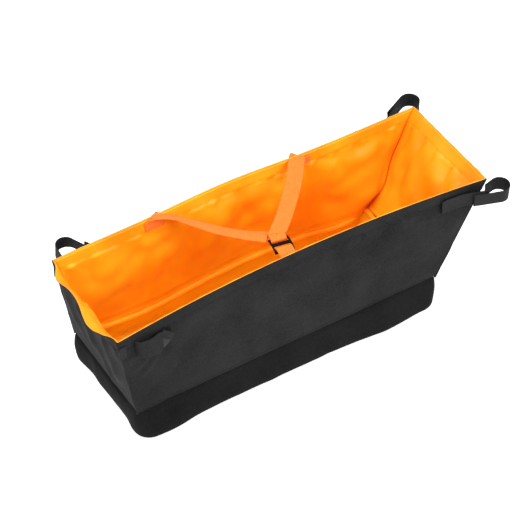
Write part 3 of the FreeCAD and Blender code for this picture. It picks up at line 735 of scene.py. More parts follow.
def make_base():
    """The heavier band: from the seam it bellies out and rolls under a soft edge to the bottom cloth."""
    count = 420
    seam, seam_out = rounded_loop(half_length, half_width, SEAM_CORNER, count)
    bottom, bottom_out = rounded_loop(base_half_length, base_half_width, BOTTOM_CORNER, count)
    swell = base_bulge(bottom)
    soft = ripple(bottom[:, 0], bottom[:, 1], 0.075, 0.075, 5)
    fine = ripple(bottom[:, 0], bottom[:, 1], 0.028, 0.028, 6)
    roll = 0.008
    rows = []
    heights = np.concatenate([spaced(seam_z + 0.0008, seam_z - 0.010, 0.002)[:1],
                              seam_z - np.array([0.0012, 0.003, 0.0055, 0.009]),
                              spaced(roll, seam_z - 0.014, 0.0045)[::-1]])
    near_left = smooth((seam[:, 0] + 0.236) / 0.03)
    front = smooth((-seam[:, 1] - 0.05) / 0.03)
    for z in heights:
        fall = (seam_z - z) / seam_z
        mix = smooth(fall * 0.92)
        plan = seam * (1 - mix) + bottom * mix
        out = seam_out * (1 - mix) + bottom_out * mix
        out /= np.linalg.norm(out, axis=1, keepdims=True)
        tuck = 0.0030 * (1 - 0.75 * front * (1 - near_left)) * math.exp(-((seam_z - z) / 0.0035) ** 2)
        belly = 0.0030 * math.sin(math.pi * min(1.0, fall * 1.05)) + swell * mix
        waves = (0.0011 * soft + 0.0005 * fine) * math.sin(math.pi * min(1.0, fall))
        plan = plan + out * (belly + waves - tuck)[:, None]
        rows.append(np.column_stack([plan, np.full(count, z)]))
    edge_plan = rows[-1][:, :2]
    for angle in np.radians((18, 38, 58, 76, 90)):
        inward = roll * (1 - math.cos(angle))
        z = roll * (1 - math.sin(angle)) + 0.0002
        rows.append(np.column_stack([edge_plan - bottom_out * inward, np.full(count, z)]))
    lower = rows[-1]
    for inset in (0.006, 0.014):
        rows.append(np.column_stack([lower[:, :2] - bottom_out * inset, np.full(count, 0.0004)]))
    outer = np.array(rows)
    inner = outer.copy()
    inward = np.concatenate([seam_out[None]] * 3 + [bottom_out[None]] * (len(rows) - 3))
    inner[:, :, :2] -= inward * BAND_CLOTH
    inner[-7:, :, 2] += np.linspace(0.0002, 0.0014, 7)[:, None]
    profile = np.concatenate([outer, inner[::-1]])
    down = np.concatenate([[0], np.cumsum(np.linalg.norm(np.diff(profile[:, 0], axis=0), axis=1))])
    round_ = np.linspace(0, 4 * (half_length + half_width), profile.shape[1])
    uv = np.stack(np.broadcast_arrays(round_[None, :], down[:, None]), -1)
    bands = [f"{PIECE_OF[side]}_base_band" for side in SIDES]
    ring_grid("base_band_cloth", profile, uv, "base_cloth", "bag", bands)
    make_bottom(lower, bottom_out)


def make_bottom(edge, outward):
    """The bottom cloth: a slightly quilted sheet between the rolled edges."""
    rings = []
    for share in (0.985, 0.9, 0.75, 0.55, 0.3, 0.08):
        plan = (edge[:, :2] - outward * 0.003) * share
        sag = 0.0006 + 0.0007 * (0.5 + 0.5 * ripple(plan[:, 0], plan[:, 1], 0.12, 0.10, 15)) * (share < 0.95)
        rings.append(np.column_stack([plan, sag]))
    top = [ring + np.array([0, 0, 0.0010]) for ring in rings[::-1]]
    profile = np.array(rings + top)
    ring_grid("base_panel_cloth", profile, profile[:, :, :2].copy(), "base_cloth", "bag", ["base_panel"], True)


# ---- the liner ----


def seam_wander(side, along):
    """How far the piped seam hangs into the bag and down, where the liner lies loose."""
    if side == "back":
        inward = 0.0080 * bump(along, -0.150, 0.090) + 0.0095 * bump(along, 0.205, 0.052)
        drop = 0.0040 * bump(along, -0.150, 0.090) + 0.0035 * bump(along, 0.205, 0.052)
        return inward - 0.0012 * bump(along, 0.03, 0.05), drop
    if side == "front":
        return 0.005 * bump(along, -0.05, 0.12), 0.002 * bump(along, 0.1, 0.1)
    if side == "right":
        return 0.004 * bump(along, 0.0, 0.05), 0.001 + 0 * along
    return 0.005 * bump(along, -0.01, 0.05), 0.002 + 0 * along


def corner_bulge(z):
    """The liner hangs across the back right corner, away from the cloth behind it."""
    return (0.0135 * bump(z, 0.098, 0.030) + 0.003) * smooth((hem_z - z) / 0.03)


LINER_FOLDS = {
    "back": (
        ((-0.200, 0.190), (-0.185, 0.120), 0.022, 0.0035, 0.0),
        ((-0.040, 0.188), (-0.020, 0.090), 0.026, 0.0055, 0.006),
        ((0.095, 0.190), (0.080, 0.080), 0.024, 0.0050, -0.006),
        ((0.180, 0.186), (0.205, 0.100), 0.022, 0.0045, 0.004),
        ((0.250, 0.176), (0.262, 0.110), 0.020, 0.0040, 0.0),
        ((-0.110, 0.150), (-0.120, 0.080), 0.028, 0.0030, 0.0),
        ((0.010, 0.186), (0.060, 0.150), 0.012, 0.0022, 0.004),
        ((0.140, 0.186), (0.110, 0.150), 0.012, 0.0024, 0.004),
        ((-0.150, 0.186), (-0.120, 0.160), 0.012, 0.0020, 0.0),
    ),
    "right": (
        ((0.060, 0.196), (-0.010, 0.110), 0.018, 0.0050, 0.008),
        ((0.010, 0.200), (-0.056, 0.130), 0.016, 0.0048, 0.004),
        ((-0.030, 0.196), (-0.078, 0.160), 0.012, 0.0030, 0.0),
        ((0.078, 0.150), (0.040, 0.080), 0.018, 0.0035, 0.0),
    ),
    "left": (
        ((0.020, 0.190), (0.010, 0.090), 0.020, 0.0040, 0.0),
        ((-0.050, 0.190), (-0.040, 0.090), 0.020, 0.0040, 0.0),
    ),
    "front": (
        ((-0.140, 0.188), (-0.130, 0.090), 0.026, 0.0040, 0.0),
        ((0.000, 0.188), (0.010, 0.090), 0.026, 0.0045, 0.0),
        ((0.150, 0.188), (0.160, 0.090), 0.026, 0.0040, 0.0),
    ),
}


def liner_push(side, along, z):
    """How far the loose liner stands into the bag beyond its plain depth, never less than -0.5 mm."""
    seed = SEEDS[side] + 100
    height = rise_of(z)
    free = smooth(height / 0.30) * smooth((hem_z + 0.002 - z) / 0.03)
    push = 0.0026 * (0.9 + ripple(along, z * 0.6, 0.105, 0.16, seed)) * free
    push = push + 0.0010 * (0.8 + ripple(along, z, 0.036, 0.050, seed + 1)) * free
    below = smooth((hem_z + 0.002 - z) / 0.005) * np.exp(-np.maximum(hem_z - z, 0) / 0.022)
    gathers = ripple(along, z * 0.5, 0.022, 0.12, seed + 2) + 0.7 * ripple(along, z, 0.011, 0.06, seed + 3)
    push = push + 0.0013 * below * (1.0 + gathers)
    for start, end, width, size, bend in LINER_FOLDS[side]:
        push = push + fold(along, z, start, end, width, size, bend)
    return np.maximum(push, -0.0005)


def liner_depth(z):
    """Outer face to the liner's visible face: less at the rim, more where it meets the piped seam."""
    rim = 0.0019 * smooth((z - hem_z) / (rim_z - hem_z))
    seam = (RIDGE_INSET - 0.0056) * (1 - smooth((z - seam_z) / 0.022))
    crease = 0.0024 * bump(z, seam_z + 0.0075, 0.0028)
    return LINER_DEPTH + LINER_CLOTH - rim + seam - crease


def liner_corner(end, back, z):
    """The line where two liner faces meet, shared by both."""
    height = rise_of(z)
    depth = liner_depth(z)
    x = half_length + (right_flare if end == "right" else left_flare) * height - depth
    y = half_width - depth - (corner_bulge(z) if back and end == "right" else 0.0)
    return np.stack([x if end == "right" else -x, y if back else -y, z + 0 * y], -1)


def liner_point(side, s, z):
    """Visible face of the liner, drawn to the shared corner lines at both ends."""
    s, z = np.broadcast_arrays(np.asarray(s, float), np.asarray(z, float))
    point = loose_liner(side, s, z)
    ends = (("left", side == "back"), ("right", side == "back"))
    if side in ("left", "right"):
        ends = ((side, False), (side, True))
    for (end, back), place, reach in ((ends[0], 0.0, s), (ends[1], 1.0, 1 - s)):
        gap = liner_corner(end, back, z) - loose_liner(side, place + 0 * s, z)
        length = 2 * half_width if side in ("left", "right") else 2 * half_length
        point = point + gap * smooth(1 - reach * length / 0.035)[..., None]
    return point


def loose_liner(side, s, z):
    """The liner's face before its corners are drawn together. s runs 0 to 1 from corner to corner."""
    depth = liner_depth(z)
    width = 2 * half_width
    start, end = depth + 0 * z, depth + 0 * z
    if side in ("front", "back"):
        height = rise_of(z)
        width = 2 * half_length + (left_flare + right_flare) * height
    elif side == "right":
        end = end + corner_bulge(z)
    t = start / width + s * (1 - (start + end) / width)
    along = along_of(side, t, z)
    reach = np.minimum(s, 1 - s) * width
    push = liner_push(side, along, z) * smooth(reach / 0.022)
    if side == "back":
        push = push + corner_bulge(z) * smooth(1 - (1 - s) * width / 0.085)
    inward, drop = seam_wander(side, along)
    low = 1 - smooth((z - seam_z) / 0.050)
    calm = smooth(reach / 0.03)
    point = wall(side, t, z, depth + push + inward * low * calm)
    point[..., 2] -= drop * low * calm
    return point


def liner_rows():
    low = spaced(seam_z + 0.002, seam_z + 0.012, 0.0035)
    middle = spaced(seam_z + 0.012, hem_z - 0.014, 0.0045)[1:]
    high = spaced(hem_z - 0.014, rim_z - 0.0018, 0.0020)[1:]
    return np.concatenate([low, middle, high])


def make_liner(side):
    rows = liner_rows()
    s = columns_of(side)
    grid, uv = [], []
    outer = []
    for z in rows:
        step = 0.0003 * smooth((z - hem_z) / 0.004)
        points = liner_point(side, s, z)
        grid.append(points - np.array(OUTWARD[side], float) * step)
        outer.append(points + np.array(OUTWARD[side], float) * LINER_CLOTH)
        uv.append(np.stack([along_of(side, s, z), z + 0 * s], -1))
    grid = np.array(grid + outer[::-1])
    uv = np.array(uv + uv[::-1])
    flip = side in ("front", "right")
    name = f"{PIECE_OF[side]}_liner"
    loop_grid(f"{name}_cloth", grid, uv, "liner_cloth", "bag", [name], flip)


RIDGE_RADIUS = 0.0044
RIDGE_INSET = 0.0092


def ridge_path(side):
    count = 150 if side in ("front", "back") else 56
    inset = 0.013
    if side in ("front", "back"):
        sign = -1 if side == "front" else 1
        along = np.linspace(-(half_length - inset), half_length - inset, count)
        inward, drop = seam_wander(side, along)
        calm = smooth((half_length - inset - np.abs(along)) / 0.03)
        y = sign * (half_width - RIDGE_INSET - inward * calm)
        return np.column_stack([along, y, seam_z - drop * calm])
    sign = -1 if side == "left" else 1
    along = np.linspace(-(half_width - inset), half_width - inset, count)
    inward, drop = seam_wander(side, along)
    calm = smooth((half_width - inset - np.abs(along)) / 0.03)
    x = sign * (half_length - RIDGE_INSET - inward * calm)
    return np.column_stack([x, along, seam_z - drop * calm])


def corner_arc(start, end, corner, steps=9):
    """Curve from start to end that stays inside the corner."""
    share = np.linspace(0, 1, steps)[1:-1, None]
    return start * (1 - share) ** 2 + corner * 2 * share * (1 - share) + end * share ** 2


def make_ridges():
    """Piped seam allowance: four puffed runs, each carried round to meet the next."""
    for side in SIDES:
        path = ridge_path(side)
        x_end = half_length - RIDGE_INSET
        y_end = half_width - RIDGE_INSET
        if side in ("front", "back"):
            y = path[0, 1]
            low = corner_arc(np.array([-x_end, y * 0.86, seam_z]), path[0], np.array([-x_end, y, seam_z]), 9)
            high = corner_arc(path[-1], np.array([x_end, y * 0.86, seam_z]), np.array([x_end, y, seam_z]), 9)
            path = np.concatenate([low, path, high])
        length = np.concatenate([[0], np.cumsum(np.linalg.norm(np.diff(path, axis=0), axis=1))])
        puff = RIDGE_RADIUS * (1 + 0.10 * ripple(length, length * 0, 0.030, 1.0, 200 + len(side)))
        name = f"{side}_seam_ridge"
        tube(f"{name}_piping", path, puff, "liner_cloth", "bag", [name], sides=14, squash=1.1)


def make_tray():
    """The liner's floor and its low walls inside the base band."""
    count = 300
    length, width = tray_high.x, tray_high.y
    rows = []
    wall_top, floor_z, roll = tray_high.z, tray_low.z + 0.0012, 0.010
    for z in spaced(floor_z + roll, wall_top, 0.005)[::-1]:
        low = (z - floor_z) / (wall_top - floor_z)
        plan, out = rounded_loop(length + 0.001 * low, width - 0.0005, 0.030 - 0.012 * low, count)
        waves = 0.0016 * ripple(plan[:, 0] + plan[:, 1], z + 0 * plan[:, 0], 0.05, 0.06, 301)
        waves = waves - 0.0010
        inward = np.zeros(count)
        for side, sign, reach in (("front", -1, width), ("back", 1, width)):
            near = smooth((sign * plan[:, 1] - reach + 0.03) / 0.03)
            shift, _ = seam_wander(side, plan[:, 0])
            inward += near * shift * low ** 1.5 * 0.9 * smooth((length - np.abs(plan[:, 0])) / 0.06)
        rows.append(np.column_stack([plan + out * (waves * math.sin(math.pi * low) - inward)[:, None],
                                     np.full(count, z)]))
    edge = rows[-1][:, :2]
    _, out = rounded_loop(length, width - 0.0005, 0.030, count)
    for angle in np.radians((25, 50, 75, 90)):
        plan = edge - out * roll * (1 - math.cos(angle))
        rows.append(np.column_stack([plan, np.full(count, floor_z + roll * (1 - math.sin(angle)))]))
    rim = rows[-1][:, :2]
    for share in (0.93, 0.82, 0.68, 0.50, 0.30, 0.10):
        plan = rim * np.array([1 - (1 - share) * 0.6, share])
        lift = 0.0018 * (1 + ripple(plan[:, 0], plan[:, 1], 0.085, 0.06, 302)) * smooth((1 - share) * 6)
        rows.append(np.column_stack([plan, floor_z + lift]))
    upper = np.array(rows)
    lower = upper.copy()
    lower[:, :, 2] -= 0.0007
    profile = np.concatenate([upper, lower[::-1]])
    uv = profile[:, :, :2] + profile[:, :, 2:] * 0.7
    ring_grid("liner_floor_cloth", profile, uv, "liner_cloth", "bag", ["liner_floor_tray"], True, FLOOR_CLOTH)


# ---- webbing ----


def smooth_line(points, step=0.0016):
    """Catmull-Rom curve through control points, evenly divided."""
    points = np.asarray(points, float)
    padded = np.concatenate([[2 * points[0] - points[1]], points, [2 * points[-1] - points[-2]]])
    line = []
    for index in range(len(points) - 1):
        p0, p1, p2, p3 = padded[index:index + 4]
        pieces = max(2, int(np.linalg.norm(p2 - p1) / step))
        for share in np.linspace(0, 1, pieces, endpoint=False):
            square, cube = share * share, share ** 3
            line.append(0.5 * (2 * p1 + (p2 - p0) * share + (2 * p0 - 5 * p1 + 4 * p2 - p3) * square
                               + (3 * p1 - p0 - 3 * p2 + p3) * cube))
    line.append(points[-1])
    return np.array(line)


def track(start, heading, run, radius, turn, tail, side, step=0.0015):
    """Plan of a bent strap: a straight run, one turn, and a straight tail."""
    angle = math.radians(heading)
    point = np.array(start, float)
    line = [point.copy()]
    length = run + radius * math.radians(turn) + tail
    travelled = 0.0
    while travelled < length - step / 2:
        middle = travelled + step / 2
        if run < middle < run + radius * math.radians(turn):
            angle += side * step / radius
        point = point + step * np.array([math.cos(angle), math.sin(angle)])
        line.append(point.copy())
        travelled += step
    return np.array(line)


def ribbon(name, centre, across, width, slot, body, nodes=(), thickness=WEBBING, shear=0.0):
    """Webbing along centre, its width along across. The two long edges are rounded selvedges.
    shear slants the far end's cut: how far it runs on along the strap for each metre across."""
    centre, across = np.asarray(centre, float), np.asarray(across, float)
    tangents = np.gradient(centre, axis=0)
    tangents /= np.linalg.norm(tangents, axis=1, keepdims=True)
    across = across - tangents * np.sum(across * tangents, axis=1, keepdims=True)
    across /= np.linalg.norm(across, axis=1, keepdims=True)
    normals = np.cross(tangents, across)
    lengths = np.concatenate([[0], np.cumsum(np.linalg.norm(np.diff(centre, axis=0), axis=1))])
    half = thickness / 2
    edge = 0.5 - 0.35 * thickness / width
    upper = [(-edge, 1), (-0.44, 0.94), (-0.22, 0.9), (0, 0.92), (0.22, 0.9), (0.44, 0.94), (edge, 1)]
    section = [(-0.5, 0.0), *upper, (0.5, 0.0), *[(u, -v) for u, v in upper[::-1]]]
    grid, uv = [], []
    slant = shear * smooth(1 - (lengths[-1] - lengths) / 0.030)
    for u, v in section:
        points = centre + across * (u * width) + normals * (v * half) + tangents * (u * width * slant)[:, None]
        grid.append(points)
        uv.append(np.stack([lengths, 0 * lengths + u * width], -1))
    return loop_grid(name, np.array(grid), np.array(uv), slot, body, nodes)


def upright(line, z, lean=0.0):
    """A plan line at height z with its width upright, leaning outwards by lean."""
    line = np.asarray(line, float)
    centre = np.column_stack([line, np.broadcast_to(z, len(line))])
    tangents = np.gradient(line, axis=0)
    tangents /= np.linalg.norm(tangents, axis=1, keepdims=True)
    lean = np.broadcast_to(lean, len(line))
    across = np.column_stack([tangents[:, 1] * np.sin(lean), -tangents[:, 0] * np.sin(lean), np.cos(lean)])
    return centre, across


LOOPS = {
    "front_right": {"heading": 13, "run": 0.017, "radius": 0.0145, "turn": 213, "tail": 0.042, "side": -1,
                    "patch": 0.020, "patch_side": -1},
    "back_right": {"heading": 40, "run": 0.025, "radius": 0.015, "turn": 168, "tail": 0.041, "side": 1,
                   "patch": 0.016, "patch_side": 1},
    "back_left": {"heading": 85, "run": 0.028, "radius": 0.016, "turn": 150, "tail": 0.021, "side": -1,
                  "patch": 0.002, "patch_side": 1},
    "front_left": {"heading": -70, "run": 0.002, "radius": 0.008, "turn": 75, "tail": 0.032, "side": 1,
                   "patch": 0.012, "patch_side": 1},
}
TABS = {
    "front_right": {"start": (0.266, -0.0915), "heading": -5, "run": 0.035, "radius": 0.012, "turn": 15,
                    "tail": 0.038, "side": -1, "patch": 0.016, "patch_side": -1, "dip": 0},
    "back_right": {"start": (0.258, 0.0972), "heading": 0, "run": 0.0235, "radius": 0.012, "turn": 28,
                   "tail": 0.048, "side": 1, "patch": 0.028, "patch_side": 1, "dip": 0},
    "back_left": {"start": (-0.190, 0.0968), "heading": 180, "run": 0.019, "radius": 0.006, "turn": 65,
                  "tail": 0.018, "side": -1, "patch": 0.0, "patch_side": 1, "dip": 0},
    "front_left": {"start": (-0.202, -0.0940), "heading": 180, "run": 0.010, "radius": 0.012, "turn": 5,
                   "tail": 0.028, "side": 1, "patch": 0.002, "patch_side": 1, "dip": 50},
}
PATCH_LENGTH = 0.018
PATCH_CLOTH = 0.0010
TWIST = {"front_right": -0.10, "back_right": 0.10, "back_left": 0.22, "front_left": -0.55}


DROOP = {"front_right": 0.0, "back_right": 0.0, "back_left": 0.0, "front_left": 0.005}
STAND_OFF = {"front_right": 0.0, "back_right": 0.0, "back_left": 0.0009, "front_left": 0.0}


def tail_index(values):
    return int(round((values["run"] + values["radius"] * math.radians(values["turn"])) / 0.0015))


def patch_line(line, values):
    """The stretch of a strap's tail that carries the patch, moved out to its face."""
    start = tail_index(values) + int(round(values["patch"] / 0.0015))
    stretch = line[start:start + int(PATCH_LENGTH / 0.0015) + 1]
    tangents = np.gradient(stretch, axis=0)
    tangents /= np.linalg.norm(tangents, axis=1, keepdims=True)
    left = np.column_stack([-tangents[:, 1], tangents[:, 0]])
    return stretch + left * values["patch_side"] * (WEBBING / 2 + PATCH_CLOTH / 2)


def make_loop(corner):
    body = f"{corner}_loop"
    values = LOOPS[corner]
    pivot = joints[f"{corner}_strap_open"]["pos_m"]
    plan = [values[key] for key in ("heading", "run", "radius", "turn", "tail", "side")]
    line = track(pivot[:2], *plan)
    share = np.linspace(0, 1, len(line))
    lean = TWIST[corner] * smooth(share * 1.4 - 0.2)
    height = pivot[2] + 0.0008 * np.sin(share * 5) - DROOP[corner] * share ** 1.5
    if corner == "front_left":
        lean = TWIST[corner] * smooth(share * 3.0) * (1 - 0.35 * share)
        line = line - np.column_stack([0 * share, 0.0065 * np.sin(math.pi * np.minimum(share * 1.1, 1))])
    line = line + np.array([0.0, STAND_OFF[corner]])
    centre, across = upright(line, height, lean)
    ribbon(f"{corner}_strap", centre, across, NARROW, "black_webbing", body, [f"{corner}_loop_strap"])
    patch = patch_line(line, values)
    first = tail_index(values) + int(round(values["patch"] / 0.0015))
    centre, across = upright(patch, height[first:first + len(patch)], lean[first:first + len(patch)])
    ribbon(f"{corner}_hooks", centre, across, NARROW * 0.86, "hook_and_loop", body, [f"{corner}_hook_patch"],
           PATCH_CLOTH)


def off_wall(side, centre, room):
    """Moves upright webbing out where the cloth behind it stands further out than the plain wall."""
    x, z = centre[:, 0], centre[:, 2]
    sign = -1 if side == "front" else 1
    cloth = np.full(len(x), -1.0)
    for shift in (-0.010, 0.0, 0.010):
        cloth = np.maximum(cloth, sign * face(side, t_of(side, x, z + shift), z + shift)[:, 1])
    moved = centre.copy()
    moved[:, 1] = sign * np.maximum(sign * centre[:, 1], cloth + HEM_STEP + room)
    return moved


def dipped(points, directions, pivot, heading, dip):
    """Turns a tab about its start so that it slopes down by dip degrees."""
    turn = math.radians(heading)
    axis = Vector((-math.sin(turn), math.cos(turn), 0.0))
    spin = np.array(Matrix.Rotation(math.radians(dip), 3, axis))
    return (points - pivot) @ spin.T + pivot, directions @ spin.T


def make_tab(corner):
    values = TABS[corner]
    plan = [values[key] for key in ("heading", "run", "radius", "turn", "tail", "side")]
    line = track(values["start"], *plan)
    height = joints[f"{corner}_strap_open"]["pos_m"][2]
    share = np.linspace(0, 1, len(line))
    lean = 0.5 * TWIST[corner] * smooth(share * 1.6 - 0.6)
    patch = patch_line(line, values)
    first = tail_index(values) + int(round(values["patch"] / 0.0015))
    pivot = np.array([*values["start"], height])
    turned = values["heading"], values["dip"]
    centre, across = upright(line, height, lean)
    centre, across = dipped(centre, across, pivot, *turned)
    centre = off_wall(corner.split("_")[0], centre, WEBBING / 2)
    ribbon(f"{corner}_tab", centre, across, NARROW, "black_webbing", "bag", [f"{corner}_loop_tab"])
    centre, across = upright(patch, height, lean[first:first + len(patch)])
    centre, across = dipped(centre, across, pivot, *turned)
    ribbon(f"{corner}_pile", centre, across, NARROW * 0.86, "hook_and_loop", "bag", [f"{corner}_pile_patch"],
           PATCH_CLOTH)


FOOT_TRIM = 0.005


def make_foot(corner):
    """The sewn end of a corner strap, flat on the cloth beside its corner."""
    low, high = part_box(f"{corner}_loop_foot")
    z = (low.z + high.z) / 2
    if "right" in corner:
        line = np.linspace(low.y, high.y, 14)
        lean = math.atan2(right_flare, rim_z - seam_z)
        centre = np.column_stack([np.full(14, (low.x + high.x) / 2), line, np.full(14, z)])
        across = np.tile([math.sin(lean), 0.0, math.cos(lean)], (14, 1))
    else:
        line = np.linspace(low.x, high.x - FOOT_TRIM, 14)
        centre = np.column_stack([line, np.full(14, (low.y + high.y) / 2), np.full(14, z)])
        across = np.tile([0.0, 0.0, 1.0], (14, 1))
        if corner == "front_left":
            centre = off_wall("front", centre, 0.0004)
    ribbon(f"{corner}_foot", centre, across, NARROW, "black_webbing", "bag", [f"{corner}_loop_foot"])


# ---- the Y strap ----

hinge = joints["mouth_v_drop"]["pos_m"]
bar = joints["buckle_tilt"]["pos_m"]
buckle_axis = np.array(joints["buckle_tilt"]["axis"], float)
tail_start = np.array(joints["front_strap_lift"]["pos_m"], float)


def level_across(line):
    """Width directions that stay level along a line."""
    tangents = np.gradient(line, axis=0)
    across = np.column_stack([-tangents[:, 1], tangents[:, 0], np.zeros(len(line))])
    return across / np.linalg.norm(across, axis=1, keepdims=True)


def rolled(line, across, angles):
    """Turns the width directions about the line, by angles in degrees."""
    tangents = np.gradient(line, axis=0)
    tangents /= np.linalg.norm(tangents, axis=1, keepdims=True)
    angles = np.radians(angles)[:, None]
    return across * np.cos(angles) + np.cross(tangents, across) * np.sin(angles)


def make_mouth_straps():
    """Both arms of the V. Their first stretch stays on the rim; each arm is one fixed piece, not hung on the hinge."""
    right = smooth_line([(0.1385, 0.1010, 0.2085), (0.1350, 0.0985, 0.2150), (0.1290, 0.0930, 0.2170),
                         (0.1060, 0.0640, 0.2118), (0.0853, 0.0402, 0.2104), (0.0505, 0.0040, 0.2106),
                         (0.0200, -0.0245, 0.2134)])
    piece = ribbon("right_strap", right, level_across(right), WIDE, "orange_webbing", None,
                   ["right_mouth_strap"], shear=-0.45)
    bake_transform(piece)
    left = smooth_line([(-0.1225, 0.1010, 0.2090), (-0.1180, 0.0965, 0.2185), (-0.1120, 0.0930, 0.2200),
                        (-0.0917, 0.0830, 0.2145), (-0.0679, 0.0620, 0.2068), (-0.0430, 0.0325, 0.2040),
                        (-0.0150, 0.0020, 0.2050), (0.0070, -0.0190, 0.2080)])
    share = np.linspace(0, 1, len(left))
    roll = -np.interp(share, (0.0, 0.12, 0.25, 0.42, 0.6, 0.8, 1.0), (4, 20, 30, 24, 18, 14, 4))
    piece = ribbon("left_strap", left, rolled(left, level_across(left), roll), WIDE, "orange_webbing", None,
                   ["left_mouth_strap"])
    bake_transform(piece)


def make_keeper():
    """The strap's end, folded round the buckle's upper bar and sewn back on itself."""
    low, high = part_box("buckle_keeper")
    side = np.array([buckle_axis[0], buckle_axis[1], 0.0])
    back = np.array([-buckle_axis[1], buckle_axis[0], 0.0])
    centre = np.array([bar[0], bar[1], bar[2]])
    radius = (high.z - low.z) / 2 - WEBBING / 2
    run = 0.0145
    line = [centre + back * run + np.array([0, 0, radius])]
    for angle in np.linspace(90, 270, 15):
        turn = math.radians(angle)
        line.append(centre + back * math.cos(turn) * radius + np.array([0, 0, math.sin(turn) * radius]))
    line.append(centre + back * run - np.array([0, 0, radius]))
    path = smooth_line(line, 0.0012)
    ribbon("buckle_keeper_web", path, np.tile(side, (len(path), 1)), WIDE, "orange_webbing", "mouth_v",
           ["buckle_keeper"])


def make_front_strap():
    """From the front hem to the buckle, its tip bent down through the slot."""
    low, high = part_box("front_mouth_strap")
    side = np.array([buckle_axis[0], buckle_axis[1], 0.0])
    back = np.array([-buckle_axis[1], buckle_axis[0], 0.0])
    start = tail_start.copy()
    run, bend, drop = 0.0148, 0.0022, start[2] - low.z
    line = [start - back * 0.002 - np.array([0, 0, 0.0004]), start, start + back * run * 0.5, start + back * run]
    for angle in (25, 50, 80):
        turn = math.radians(angle)
        line.append(start + back * (run + bend * math.sin(turn)) - np.array([0, 0, bend * (1 - math.cos(turn))]))
    line.append(start + back * (run + bend * 1.1) - np.array([0, 0, drop]))
    path = smooth_line(line, 0.0010)
    ribbon("front_strap_web", path, np.tile(side, (len(path), 1)), WIDE, "orange_webbing", "front_strap",
           ["front_mouth_strap"])


def make_anchors():
    """The straps' sewn ends, flat on the liner's hem."""
    for name, side, along, width in (("right", "back", 0.136, 0.030), ("left", "back", -0.119, 0.032),
                                     ("front", "front", 0.011, 0.026)):
        low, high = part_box(f"{name}_strap_anchor")
        z = np.linspace(high.z - 0.006, high.z + 0.009, 14)
        t = t_of(side, along, z)
        centre = wall(side, t, z, LINER_DEPTH + LINER_CLOTH + 0.0022)
        across = np.tile([1.0, 0.0, 0.0], (len(z), 1))
        ribbon(f"{name}_sewn_end", centre, across, width, "orange_webbing", "bag", [f"{name}_strap_anchor"])


# ---- stitching ----

STITCH = 0.0030
STITCH_GAP = 0.0012
THREAD = 0.00028


def stitch_mesh(name, rows, material, slot, body):
    """Rows of small stitches. Each row is a dense line of points with the outward direction at each."""
    points, faces, uvs = [], [], []
    for line, outward in rows:
        line, outward = np.asarray(line, float), np.asarray(outward, float)
        lengths = np.concatenate([[0], np.cumsum(np.linalg.norm(np.diff(line, axis=0), axis=1))])
        start = STITCH_GAP / 2
        while start + STITCH < lengths[-1]:
            stations = start + STITCH * np.array([0.0, 0.18, 0.5, 0.82, 1.0])
            swell = np.array([0.35, 0.95, 1.0, 0.95, 0.35])
            rise = np.array([-0.4, 0.5, 0.8, 0.5, -0.4])
            centre = np.column_stack([np.interp(stations, lengths, line[:, axis]) for axis in range(3)])
            out = np.column_stack([np.interp(stations, lengths, outward[:, axis]) for axis in range(3)])
            out /= np.linalg.norm(out, axis=1, keepdims=True)
            ahead = np.gradient(centre, axis=0)
            ahead /= np.linalg.norm(ahead, axis=1, keepdims=True)
            aside = np.cross(ahead, out)
            base = len(points)
            for index in range(5):
                middle = centre[index] + out[index] * THREAD * rise[index]
                for step in range(6):
                    angle = math.pi * step / 3
                    radius = THREAD * swell[index]
                    points.append(middle + radius * (math.cos(angle) * aside[index] + math.sin(angle) * out[index]))
                    uvs.append((stations[index], angle * THREAD))
            for index in range(4):
                for step in range(6):
                    a = base + index * 6 + step
                    b = base + index * 6 + (step + 1) % 6
                    faces.append((a, a + 6, b + 6, b))
            faces.append(tuple(base + step for step in range(6)))
            faces.append(tuple(base + 24 + step for step in range(6))[::-1])
            start += STITCH + STITCH_GAP
    return add_piece(name, points, faces, uvs, slot, body, (), material)


def wall_row(side, z, lift, first=0.036, last=0.964):
    """A line of stitches along the shell at height z."""
    t = np.linspace(first, last, 400)
    depth = shell_depth(side, t, z)
    return wall(side, t, z, depth - lift), wall(side, t, z, depth - 0.01) - wall(side, t, z, depth)


def liner_row(side, z, lift):
    s = np.linspace(0.01, 0.99, 400)
    inward = -np.array(OUTWARD[side], float)
    line = liner_point(side, s, z)
    return line + inward * (lift + 0.0008), np.tile(inward, (len(s), 1))


def make_stitching():
    outside = [wall_row(side, z, 0.0001) for side in SIDES for z in (hem_z + 0.0022, seam_z + 0.0062)]
    stitch_mesh("shell_stitching", outside, BLACK_THREAD, "shell_cloth", "bag")
    inside = [liner_row(side, hem_z + 0.003, 0.0001) for side in SIDES]
    stitch_mesh("liner_stitching", inside, ORANGE_THREAD, "liner_cloth", "bag")


def box_rows(origin, u, v, out, length, width):
    """A sewn box with a cross in it, on a flat patch of webbing."""
    corners = [origin + u * a * length / 2 + v * b * width / 2 for a, b in ((-1, -1), (1, -1), (1, 1), (-1, 1))]
    pairs = [(0, 1), (1, 2), (2, 3), (3, 0), (0, 2), (1, 3)]
    rows = []
    for first, second in pairs:
        line = np.linspace(corners[first], corners[second], 20)
        rows.append((line, np.tile(out, (20, 1))))
    return rows


def make_strap_stitching():
    side = np.array([buckle_axis[0], buckle_axis[1], 0.0])
    back = np.array([-buckle_axis[1], buckle_axis[0], 0.0])
    up = np.array([0.0, 0.0, 1.0])
    centre = np.array([bar[0], bar[1], 0]) + back * 0.0095
    centre[2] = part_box("buckle_keeper")[1].z + 0.00010
    rows = box_rows(centre, back, side, up, 0.0075, 0.019)
    stitch_mesh("keeper_stitching", rows, ORANGE_THREAD, "orange_webbing", "mouth_v")


# ---- camera, light, floor ----

